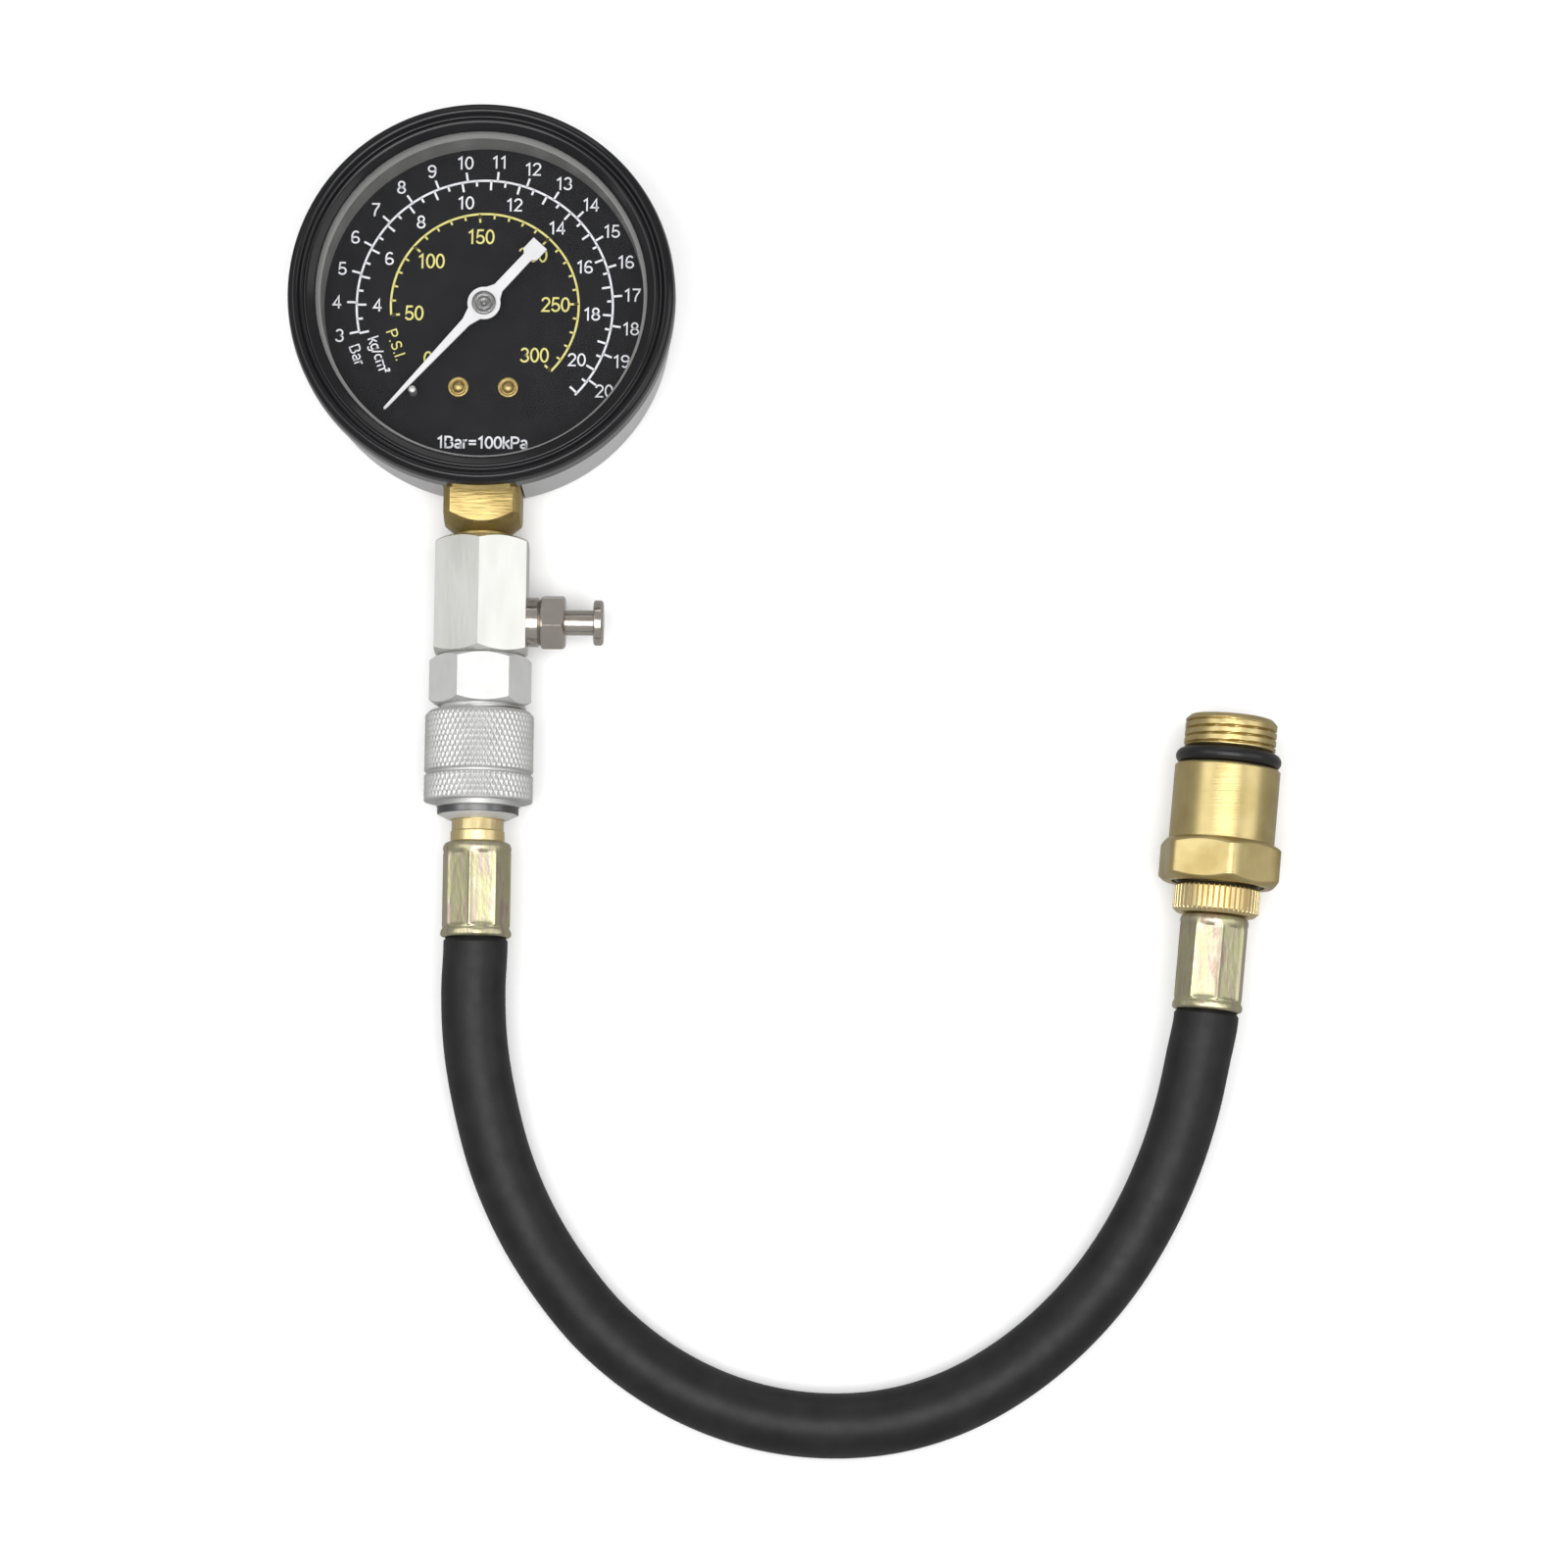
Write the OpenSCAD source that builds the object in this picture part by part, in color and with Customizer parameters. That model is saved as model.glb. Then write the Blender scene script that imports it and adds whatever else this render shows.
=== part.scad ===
// Compression tester gauge lying on its back, with bleed block, quick coupler, hose and spark plug adapter.
// Millimetres. The origin is the middle of the case back, +Z leaves the dial, the stem points to -Y.

/* [Gauge] */
// Outside diameter of the bezel
bezel_d = 75.8; // [74:0.2:80]
// How far the bezel stands out beyond the case wall
bezel_lip = 1.4; // [1.2:0.1:1.6]
// Height of the case wall above the surface
case_h = 27; // [26:0.5:28]
// Height of the dial face
dial_z = 18; // [17.5:0.1:18.5]
// Wall of the pressed steel case
case_wall = 1; // [0.8:0.1:1.2]
// Rest angle of the pointer, anticlockwise from +X
pointer_rest = 228; // [226:0.5:230]
// Gap between the pointer's tip and the foot of the spacer ring
tip_gap = 2.75; // [1:0.05:6]

/* [Stem and block] */
// Height of the stem axis above the surface
stem_h = 10.8; // [10.75:0.05:11]
// Width of the square brass stem
stem_w = 15; // [14:0.2:15.4]
// Distance from the gauge axis to the end of the stem square
stem_end = 44.6; // [44:0.2:45]
// Across flats of the aluminium block
block_af = 18; // [17.6:0.2:18.4]
// Distance from the gauge axis to the top of the block
block_top = 45.65; // [45.2:0.05:46]
// Length of the block
block_len = 23.2; // [22.8:0.2:24]
// Distance from the gauge axis to the bleed valve axis
bleed_at = 62; // [61.8:0.1:62.2]
// Travel of the bleed button
bleed_travel = 2; // [1:0.1:2.2]

/* [Coupler] */
// Across flats of the coupler hexagon
coupler_af = 17.5; // [17:0.1:18]
// Diameter of the knurled sleeve
sleeve_d = 21.4; // [20.6:0.1:21.4]
// Travel of the sleeve towards the hexagon
sleeve_travel = 1; // [0.8:0.1:1.3]
// Number of locking balls
ball_count = 6; // [4:1:6]

/* [Hose and adapter] */
// Outside diameter of the hose
hose_d = 12.6; // [12:0.1:12.8]
// Diameter of the ferrules
ferrule_d = 13.4; // [13.2:0.1:13.8]
// Across flats of the adapter hexagon
adapter_af = 22; // [21:0.2:22.6]
// Thread diameter of the adapter nose
thread_d = 18; // [17.8:0.1:18.2]
// Number of flutes on the hose end ring
flute_count = 49; // [36:1:56]
// Lean of the adapter axis from +Y, clockwise
adapter_lean = 5; // [4.5:0.5:5.5]

/* [Hidden] */
$fn = 96;

// Gauge
bezel_r = bezel_d / 2;
case_d = bezel_d - 2 * bezel_lip;
case_r = case_d / 2;
opening_r = case_r - 4.1;
spacer_foot_r = opening_r - 0.75;
skirt_z = case_h - 3.5;
lens_z = case_h - 0.4;
dial_t = 0.8;
screw_x = 4.9;
screw_y = -16.4;
case_screw_x = [-4.5, 4.5];
case_screw_y = -14;
stop_r = 22.3;
stop_pin_r = 0.8;
stop_angle = pointer_rest + 3.9;
pointer_z = dial_z + 2.2;
pointer_t = 0.6;
pointer_len = spacer_foot_r - tip_gap;

// Movement: a 12 tooth pinion and a sector cut from a 120 tooth wheel
gear_module = 0.25;
pinion_teeth = 12;
sector_teeth = 120;
pinion_r = gear_module * pinion_teeth / 2;
sector_r = gear_module * sector_teeth / 2;
sector_pivot_y = -(pinion_r + sector_r + 0.06);
sector_half_swing = 13.65;
sector_pitch = 360 / sector_teeth;
half_pitches = 4.5;
gear_ratio = sector_teeth / pinion_teeth;
pinion_phase = -90 + gear_ratio * (sector_half_swing - half_pitches * sector_pitch);
plate_from = 6.5;
front_from = dial_z - 2.4;
gear_z = 9.6;
gear_t = 1.2;
tail_r = 6;
tail_x = tail_r * sin(sector_half_swing);
tail_y = sector_pivot_y + tail_r * cos(sector_half_swing);
tube_r = 27;
tube_z = 9;
tube_start = -95;
tube_end = 185;
tip_in = 4.1;
tip_past = 2.41;
tip_x = (tube_r - tip_in) * cos(tube_end) - tip_past * sin(tube_end);
tip_y = (tube_r - tip_in) * sin(tube_end) + tip_past * cos(tube_end);
plate_end = tube_r - 4.4;
pillar_y = -plate_end + 2;
pillar_places = [[-5, 3.4, 0], [5, 3.4, 0], [-6.6, pillar_y, 0], [6.6, pillar_y, 0]];

// Column below the gauge, as distances along the stem axis
block_end = block_top + block_len;
hex_top = block_end + 0.05;
hex_end = hex_top + 9.95;
sleeve_top = hex_end + sleeve_travel + 0.15;
sleeve_end = 97.95;
lip_end = sleeve_end + 1;
ring_end = lip_end + 1.45;
mouth = 101.4;
ferrule_top = 105.8;
ferrule_len = 18.8;
ferrule_floor = 1.4;
barrel_r = 7.7;
plug_r = 5.1;
ball_r = 1.5;
ball_at = 94.3;
ball_ring_r = 6.1;
land_end = ball_at + 0.8;
chamber_end = 88.3;
main_bore = 4;
coupler_turn = -7;

// Bleed valve, as distances from the stem axis
bleed_face = block_af / 2;
bleed_hex_in = bleed_face + 2.75;
bleed_hex_out = bleed_hex_in + 4.85;
bleed_floor = 5;
bleed_nut_turn = -16;

// Adapter side, as distances along its axis from the mouth of the lower ferrule
adapter_h = adapter_af / 2 / cos(30);
adapter_from = [143.06, -137.6, adapter_h];
adapter_turn = 6;
ring_from = ferrule_len;
hex_from = ring_from + 6;
body_from = hex_from + 8.5;
seal_from = body_from + 14.9;
thread_from = seal_from + 3;
nose_end = thread_from + 6.7;
adapter_body_r = 10.35;
valve_from = 29.5;
core_from = valve_from + 2.5;
core_end = core_from + 4;
pin_end = core_end + 5;
spigot_end = 40;

// Hose route, from inside the upper ferrule to inside the lower one, and its radius at each point
hose_r = hose_d / 2;
hose_bore_r = 3.2;
crimped_r = ferrule_d / 2 - 1;
hose_route = [[0, -107.3, stem_h], [0, -124.4, stem_h], [0, -126, 10.7], [-0.3, -135, 10.1], [0.2, -145, 9],
    [2.3, -157, 7.7], [5.7, -169, 6.8], [10.9, -180.5, 6.4], [17.7, -191, 6.35], [25.8, -200.4, 6.35],
    [35.3, -208, 6.35], [46.2, -213.8, 6.35], [57.9, -217.4, 6.35], [70.2, -218.7, 6.35],
    [82.5, -217.6, 6.35], [94.4, -213.9, 6.35], [105.3, -207.8, 6.4], [114.9, -200, 6.5],
    [123.2, -190.8, 6.8], [130, -180.4, 7.5], [135.3, -169.2, 8.7], [139.2, -157.3, 10.4], [141.6, -146, 12],
    [142.92, -139.1, adapter_h], along(0.2), along(17.2)];
hose_last = len(hose_route) - 1;
hose_sides = 12;

// A point on the adapter axis
function along(d) = adapter_from + d * [sin(adapter_lean), cos(adapter_lean), 0];
function unit(v) = v / norm(v);
function hose_heading(i) = unit(hose_route[min(i + 1, hose_last)] - hose_route[max(i - 1, 0)]);
function hose_radius(i) = (i < 2 || i > hose_last - 2) ? crimped_r : hose_r;
function hose_ring(i, r) = let (t = hose_heading(i), s = unit(cross(t, [0, 0, 1])), u = cross(s, t))
    [for (k = [0 : hose_sides - 1]) let (a = 360 * k / hose_sides)
        hose_route[i] + r * (cos(a) * s + sin(a) * u)];
function arc(cx, cy, r, a0, a1, n) = [for (i = [0 : n]) let (a = a0 + (a1 - a0) * i / n)
    [cx + r * cos(a), cy + r * sin(a)]];

// Local frames: +Z runs down the stem, out of the bleed valve, or along the adapter
module on_stem() { translate([0, 0, stem_h]) rotate([90, 0, 0]) children(); }
module on_bleed() { translate([0, -bleed_at, stem_h]) rotate([0, 90, 0]) children(); }
module on_adapter() { translate(adapter_from) rotate([0, 0, -adapter_lean]) rotate([-90, 0, 0]) children(); }

module turned(points) { rotate_extrude() polygon(points); }
module ring(r0, r1, z0, z1) { turned([[r0, z0], [r1, z0], [r1, z1], [r0, z1]]); }
module rod(r, z0, z1) { translate([0, 0, z0]) cylinder(r = r, h = z1 - z0); }
module o_ring(r, section, z) {
    translate([0, 0, z]) rotate_extrude() translate([r, 0]) circle(r = section, $fn = 32);
}

// Hexagonal bar between two heights with a 30 degree turned chamfer on both ends
module hex_bar(af, z0, z1, turn) {
    corner = af / sqrt(3);
    flat = af / 2 * 0.95;
    drop = (corner - flat) * tan(30);
    intersection() {
        translate([0, 0, z0]) rotate(turn) cylinder(r = corner, h = z1 - z0, $fn = 6);
        turned([[0, z0], [flat, z0], [corner, z0 + drop], [corner, z1 - drop], [flat, z1], [0, z1]]);
    }
}

// Coil spring of round wire between two heights
module coil(r, wire, z0, z1, turns) {
    steps = 14 * turns;
    sides = 6;
    rise = (z1 - z0 - 2 * wire) / steps;
    points = [for (i = [0 : steps], k = [0 : sides - 1]) let (a = 360 * i / 14, b = 360 * k / sides)
        [(r + wire * cos(b)) * cos(a), (r + wire * cos(b)) * sin(a), z0 + wire + rise * i + wire * sin(b)]];
    faces = [for (i = [0 : steps - 1], k = [0 : sides - 1]) let (n = (k + 1) % sides)
        [sides * i + k, sides * (i + 1) + k, sides * (i + 1) + n, sides * i + n]];
    start = [for (k = [0 : sides - 1]) k];
    finish = [for (k = [sides - 1 : -1 : 0]) sides * steps + k];
    polyhedron(points, concat([start], faces, [finish]), convexity = 10);
}

// Crimped ferrule with eight flats, its closed shoulder at height 0
module ferrule() {
    r = ferrule_d / 2;
    crimp_from = 3.4;
    crimp_to = ferrule_len - 2.4;
    difference() {
        union() {
            turned(concat([[0, 0]], arc(r - 1.6, 1.6, 1.6, -90, 0, 8),
                [[r, 2.2], [r - 0.5, 2.5], [r - 0.5, 2.9], [r, 3.2], [r, crimp_from], [0, crimp_from]]));
            intersection() {
                rod(r, crimp_from, crimp_to);
                translate([0, 0, crimp_from]) rotate(22.5 - 8)
                    cylinder(r = (r - 0.35) / cos(22.5), h = crimp_to - crimp_from, $fn = 8);
            }
            turned([[0, crimp_to], [r - 0.25, crimp_to], [r + 0.15, ferrule_len - 1.4],
                [r + 0.15, ferrule_len - 0.4],
                [r - 0.2, ferrule_len], [0, ferrule_len]]);
        }
        rod(crimped_r + 0.1, ferrule_floor, ferrule_len + 1);
        rod(4.3, -1, 2);
    }
}

// Barbed tail that the hose is pushed on to, up to height 0, pointing down
module barb(length) {
    step = length / 4;
    difference() {
        turned(concat([[0, 0], [3, 0]], [for (i = [1 : 4], e = [0, 1])
            [e == 0 ? 2.4 : (i == 4 ? 2.4 : 3), -i * step + e * 0.1 + 0.1]],
            [[0, -length]]));
        rod(1.5, -length - 1, 1);
    }
}

// Gauge
module case() {
    rear = 3;
    w = case_wall;
    color([0.42, 0.42, 0.43]) difference() {
        turned(concat([[0, 0]], arc(case_r - rear, rear, rear, -90, 0, 10),
            [[case_r, case_h], [case_r - w, case_h]],
            arc(case_r - rear, rear, rear - w, 0, -90, 10), [[0, w]]));
        translate([-stem_w / 2 - 0.3, -case_r - 5, stem_h - stem_w / 2 - 0.3])
            cube([stem_w + 0.6, 12, stem_w + 0.6]);
        for (x = case_screw_x) translate([x, case_screw_y, 0])
            turned([[0, -0.1], [2.5, -0.1], [2.5, 0.1], [1.45, 1.15], [1.45, 5], [0, 5]]);
    }
}
module bezel() {
    r = bezel_r;
    top = case_h + 4;
    color([0.07, 0.07, 0.08]) turned(concat([[case_r + 0.1, skirt_z], [r - 0.4, skirt_z], [r, skirt_z + 0.5]],
        [[r, top - 2.6]], arc(r - 1.4, top - 1.4, 1.4, 10, 100, 6),
        [[r - 2.4, top - 0.9], [r - 2.9, top - 1.3], [r - 3.4, top - 0.9], [r - 3.8, top - 0.7],
        [opening_r + 0.2, top - 1.6], [opening_r, top - 1.9], [opening_r, lens_z + 2.25],
        [case_r - 0.9, lens_z + 2.25], [case_r - 0.9, case_h + 0.1], [case_r + 0.1, case_h + 0.1]]));
}
module lens() { color([0.85, 0.9, 0.92, 0.3]) rod(case_r - 1.9, lens_z, lens_z + 1.5); }
module lens_gasket() {
    color([0.1, 0.1, 0.1]) ring(opening_r + 0.5, case_r - 1.3, lens_z + 1.52, lens_z + 2.23);
}
module spacer_ring() {
    foot = spacer_foot_r;
    flange = lens_z - 0.8;
    color([0.62, 0.62, 0.6]) turned([[foot, dial_z + 0.02], [foot + 0.7, dial_z + 0.02], [foot + 0.7, flange],
        [case_r - 1.3, flange], [case_r - 1.3, lens_z - 0.02], [foot, lens_z - 0.02]]);
}
module dial() {
    color([0.1, 0.1, 0.115]) difference() {
        rod(opening_r + 0.6, dial_z - dial_t, dial_z);
        rod(1.6, 0, dial_z + 1);
        for (x = [-screw_x, screw_x]) translate([x, screw_y, 0]) rod(1.1, 0, dial_z + 1);
        rotate(stop_angle) translate([stop_r, 0, 0]) rod(stop_pin_r / 2 + 0.02, 0, dial_z + 1);
    }
}
module dial_screws() {
    color([0.8, 0.6, 0.25]) for (x = [-screw_x, screw_x]) translate([x, screw_y, dial_z])
        turned(concat([[0, -1.9], [1, -1.9], [1, 0.02], [2.05, 0.02], [2.05, 0.5], [1.7, 0.65], [1.35, 0.45]],
            arc(0, -0.35, 1.5, 33, 90, 6)));
}
module stop_pin() {
    color([0.75, 0.75, 0.75]) rotate(stop_angle) translate([stop_r, 0, dial_z])
        turned([[0, -1.2], [stop_pin_r / 2, -1.2], [stop_pin_r / 2, 0.02], [stop_pin_r, 0.02],
            [stop_pin_r, 3.3],
            [stop_pin_r - 0.3, 3.6], [0, 3.6]]);
}
module pointer() {
    cap_from = 13.3;
    tail_len = 16.3;
    color([0.93, 0.93, 0.93]) rotate(pointer_rest) translate([0, 0, pointer_z]) difference() {
        union() {
            rod(3.25, 0, pointer_t);
            linear_extrude(pointer_t) polygon([[2, 1.9], [5.2, 0.92], [pointer_len - 0.3, 0.27],
                [pointer_len, 0],
                [pointer_len - 0.3, -0.27], [5.2, -0.92], [2, -1.9], [-2, -2.2], [-4.2, -1.05],
                [-cap_from + 0.7, -1], [-cap_from, -1.8], [-tail_len, -1.8], [-tail_len, 1.8],
                [-cap_from, 1.8],
                [-cap_from + 0.7, 1], [-4.2, 1.05], [-2, 2.2]]);
        }
        rod(1.5, -1, 1);
    }
}
module pointer_bush() {
    color([0.6, 0.6, 0.6]) difference() {
        translate([0, 0, pointer_z]) turned([[0, -1.4], [1.9, -1.4], [1.9, -0.02], [1.48, -0.02],
            [1.48, pointer_t + 0.02],
            [2.35, pointer_t + 0.02], [2.35, 0.95], [2.1, 1.15], [0, 1.15]]);
        rod(0.62, 0, pointer_z + 0.9);
    }
}

// Movement
module tooth_bar(root, tip, half_root, half_tip) {
    polygon([[root - 0.15, -half_root], [root, -half_root], [tip, -half_tip], [tip, half_tip],
        [root, half_root],
        [root - 0.15, half_root]]);
}
module pinion() {
    root = pinion_r - 0.34;
    color([0.8, 0.65, 0.35]) union() {
        rod(0.6, 5.6, pointer_z + 0.85);
        rod(1, 12.2, 12.9);
        translate([0, 0, gear_z]) linear_extrude(gear_t) union() {
            circle(r = root);
            for (k = [0 : pinion_teeth - 1]) rotate(pinion_phase + 360 / pinion_teeth * k)
                tooth_bar(root, pinion_r + 0.2, 0.17, 0.07);
        }
    }
}
module sector_gear() {
    root = sector_r - 0.34;
    spread = 22.5;
    end_tooth = 7;
    color([0.8, 0.65, 0.35]) translate([0, sector_pivot_y, gear_z]) rotate(90 - sector_half_swing)
        linear_extrude(gear_t) difference() {
            union() {
                circle(r = 2.6);
                intersection() {
                    circle(r = root);
                    polygon([[0, -2], [sector_r, -sector_r * tan(spread)], [sector_r + 2, 0],
                        [sector_r, sector_r * tan(spread)], [0, 2]]);
                }
                for (k = [-end_tooth : end_tooth]) rotate(k * sector_pitch)
                    tooth_bar(root, sector_r + 0.2, 0.2, 0.08);
            }
            circle(r = 0.8);
            translate([tail_r, 0]) circle(r = 0.55);
            translate([10, 0]) circle(r = 1.7);
        }
}
module sector_arbor() {
    color([0.75, 0.75, 0.72]) translate([0, sector_pivot_y, 0]) union() {
        rod(0.6, plate_from + 0.05, front_from + 1.3);
        rod(0.78, 8.6, 12.6);
    }
}
module movement_plate(z0, z1) {
    color([0.78, 0.66, 0.4]) difference() {
        translate([0, 0, z0]) linear_extrude(z1 - z0) polygon([[-6, 5], [6, 5], [9.2, 4.6 - plate_end],
            [7, -plate_end], [-7, -plate_end], [-9.2, 4.6 - plate_end]]);
        rod(0.68, z0 - 1, z1 + 1);
        translate([0, sector_pivot_y, 0]) rod(0.68, z0 - 1, z1 + 1);
        for (p = pillar_places) translate(p) rod(1, z0 - 1, z1 + 1);
        for (x = [-screw_x, screw_x]) translate([x, screw_y, 0]) rod(1.04, z0 + 0.2, z1 + 1);
    }
}
module front_plate() { movement_plate(front_from, dial_z - dial_t - 0.02); }
module back_plate() { movement_plate(plate_from, plate_from + 1.5); }
module plate_pillars() {
    color([0.75, 0.65, 0.4]) for (p = pillar_places) translate(p)
        turned([[0, 6.6], [0.95, 6.6], [0.95, 8.02], [1.6, 8.02],
            [1.6, front_from - 0.02], [0.95, front_from - 0.02], [0.95, front_from + 1.5],
            [0, front_from + 1.5]]);
}
module hairspring() {
    turns = 3.5;
    steps = 70;
    half = 0.09;
    function spiral(i, o) = let (a = 360 * turns * i / steps, r = 1.16 + 2.7 * i / steps + o)
        [r * cos(a), r * sin(a)];
    color([0.7, 0.65, 0.5]) translate([0, 0, 12.2]) linear_extrude(0.6)
        polygon(concat([for (i = [0 : steps]) spiral(i, -half)],
            [for (i = [steps : -1 : 0]) spiral(i, half)]));
}
module link() {
    bearing = atan2(tip_y - tail_y, tip_x - tail_x);
    span = norm([tip_x - tail_x, tip_y - tail_y]);
    color([0.72, 0.72, 0.7]) translate([tail_x, tail_y, 0]) rotate(bearing) union() {
        translate([0, 0, gear_z + gear_t + 0.3]) linear_extrude(0.8) difference() {
            union() {
                circle(r = 1.3);
                translate([0, -0.9]) square([span, 1.8]);
                translate([span, 0]) circle(r = 1.3);
            }
            translate([span, 0]) circle(r = 0.55);
        }
        rod(0.48, gear_z - 0.2, gear_z + gear_t + 0.4);
    }
}
module tube_section(grow) {
    union() {
        translate([tube_r - 1.6 - grow, -2.4]) square([3.2 + 2 * grow, 4.8]);
        for (y = [-2.4, 2.4]) translate([tube_r, y]) circle(r = 1.6 + grow, $fn = 32);
    }
}
module pressure_tube() {
    color([0.75, 0.55, 0.3]) translate([0, 0, tube_z]) rotate(tube_start)
        rotate_extrude(angle = tube_end - tube_start) difference() { tube_section(0); tube_section(-0.4); }
}
module tube_tip() {
    color([0.78, 0.66, 0.4]) union() {
        rotate(tube_end) translate([tube_r - 2.2, 0.1, tube_z - 4.4]) cube([4.4, 4, 8.8]);
        translate([tip_x, tip_y, 0]) rod(0.5, tube_z + 1, gear_z + gear_t + 1.7);
        rotate(tube_end) translate([tube_r - 5.4, 0.6, tube_z - 0.6]) cube([4, 3.4, 2]);
    }
}
module stem() {
    half = stem_w / 2;
    inner_end = tube_r - 4;
    neck_r = 5.4;
    chamfer = (half + 2 - neck_r) / 1.2;
    color([0.8, 0.62, 0.3]) difference() {
        union() {
            on_stem() intersection() {
                translate([0, 0, inner_end]) rotate(45)
                    cylinder(r = half * sqrt(2), h = stem_end - inner_end, $fn = 4);
                turned([[0, inner_end], [half + 2.2, inner_end], [half + 2.2, stem_end - chamfer],
                    [neck_r + 0.2, stem_end],
                    [0, stem_end]]);
            }
            on_stem() rod(neck_r, stem_end - 1, block_top - 0.02);
            on_stem() rod(5, block_top - 1, block_top + 8);
            translate([-half, -inner_end - 4, case_wall + 0.02])
                cube([stem_w, inner_end - 7, plate_from - 0.03 - case_wall]);
        }
        translate([0, 0, tube_z]) rotate(-105) rotate_extrude(angle = 50) tube_section(0.1);
        on_stem() rod(2, tube_r, block_top + 9);
        rod(case_r - case_wall - 1.3, dial_z - 1.4, dial_z + 5);
        for (x = case_screw_x) translate([x, case_screw_y, 0]) rod(1.3, 0, 5.6);
        for (p = pillar_places) translate(p) rod(1.1, 6, 8);
    }
}
module case_screws() {
    color([0.6, 0.6, 0.6]) for (x = case_screw_x) translate([x, case_screw_y, 0]) difference() {
        turned([[0, 0.15], [2.3, 0.15], [1.25, case_wall - 0.02], [1.25, 5.4], [0, 5.4]]);
        translate([-3, -0.3, -0.1]) cube([6, 0.6, 0.7]);
    }
}

// Bleed block and valve
module bleed_block() {
    color([0.86, 0.86, 0.85]) difference() {
        union() {
            on_stem() hex_bar(block_af, block_top, block_end, 90);
            on_stem() turned([[0, block_end - 1], [6.2, block_end - 1], [6.2, block_end + 6.6],
                [5.6, block_end + 7.2],
                [0, block_end + 7.2]]);
        }
        on_stem() rod(5.05, block_top - 1, block_top + 8.4);
        on_stem() rod(main_bore, block_top + 8, block_end + 8);
        on_bleed() rod(4.05, bleed_floor, bleed_face + 2);
        on_bleed() rod(1.7, 2, bleed_floor + 1);
        on_bleed() rod(2.4, 0, 3.6);
    }
}
module bleed_body() {
    wall_from = bleed_hex_out - 2.1;
    color([0.66, 0.6, 0.55]) on_bleed() rotate(bleed_nut_turn) difference() {
        union() {
            rod(4, bleed_floor + 0.02, bleed_face + 0.5);
            turned([[0, bleed_face + 0.02], [4.9, bleed_face + 0.02], [4.9, bleed_hex_in - 0.6],
                [4.4, bleed_hex_in],
                [0, bleed_hex_in]]);
            hex_bar(10, bleed_hex_in - 0.01, bleed_hex_out, 30);
        }
        rod(3.3, bleed_floor - 1, wall_from);
        rod(2.58, wall_from - 1, bleed_hex_out + 1);
    }
}
module bleed_button() {
    head = bleed_hex_out + bleed_travel + 3.6;
    collar_end = bleed_hex_out - 2.4;
    color([0.68, 0.63, 0.58]) on_bleed()
        turned([[0, 1.4], [1.2, 1.4], [1.2, collar_end - 1.8], [2.9, collar_end - 1.8], [2.9, collar_end],
            [2.5, collar_end], [2.5, head], [4.2, head], [4.5, head + 0.3], [4.5, head + 1.5],
            [4.1, head + 1.9], [0, head + 1.9]]);
}
module bleed_spring() {
    color([0.7, 0.7, 0.7]) on_bleed() coil(2.3, 0.35, bleed_floor + 0.05, bleed_hex_out - 4.25, 5);
}
module bleed_seal() { color([0.1, 0.1, 0.1]) on_bleed() ring(1.22, 2.1, 2, 3.55); }

// Quick coupler
module coupler_body() {
    color([0.72, 0.7, 0.64]) on_stem() difference() {
        union() {
            hex_bar(coupler_af, hex_top, hex_end, coupler_turn);
            turned([[0, hex_end - 1], [barrel_r, hex_end - 1], [barrel_r, lip_end + 0.05],
                [7, lip_end + 0.05], [7, ring_end], [barrel_r, ring_end], [barrel_r, ring_end + 0.1],
                [barrel_r - 1.9, mouth], [0, mouth]]);
        }
        rod(6.25, hex_top - 1, block_end + 7.4);
        rod(3, block_end + 7, 82);
        rod(4, 80.6, 89);
        rod(5.9, 82.9, 85.3);
        rod(plug_r + 0.1, 88, mouth + 1);
        for (k = [0 : ball_count - 1]) rotate(360 / ball_count * k)
            translate([0, 0, ball_at]) rotate([0, 90, 0])
            rod(ball_r + 0.04, 4, barrel_r + 1);
    }
}
module coupler_sleeve() {
    r = sleeve_d / 2;
    groove = 92.4;
    land = barrel_r + 0.08;
    chamber = barrel_r + 1.9;
    lip = barrel_r + 0.55;
    color([0.7, 0.7, 0.68]) on_stem()
        turned([[chamber, sleeve_top], [r - 0.9, sleeve_top], [r, sleeve_top + 0.9], [r, groove - 0.45],
            [r - 0.45, groove - 0.25], [r - 0.45, groove + 0.25], [r, groove + 0.45], [r, sleeve_end - 0.5],
            [r - 0.5, sleeve_end], [lip, sleeve_end], [lip, lip_end - 0.15], [lip - 0.15, lip_end],
            [land, lip_end], [land, sleeve_end - 0.6], [8.5, sleeve_end - 1.2],
            [8.5, land_end + 0.7], [land, land_end],
            [land, chamber_end],
            [chamber, chamber_end]]);
}
module sleeve_spring() {
    color([0.75, 0.75, 0.75]) on_stem() coil(8.7, 0.5, hex_end + 0.05, chamber_end - 0.05, 4);
}
module locking_balls() {
    color([0.8, 0.8, 0.8]) on_stem() for (k = [0 : ball_count - 1]) rotate(360 / ball_count * k)
        translate([ball_ring_r, 0, ball_at]) sphere(r = ball_r);
}
module snap_ring() {
    color([0.15, 0.15, 0.15]) on_stem() difference() {
        ring(7.05, barrel_r + 0.3, lip_end + 0.1, ring_end - 0.05);
        translate([-1, -9, lip_end]) cube([2, 6, 2]);
    }
}
module coupler_seal() { color([0.1, 0.1, 0.1]) on_stem() o_ring(4.92, 0.92, 84.1); }

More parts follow.
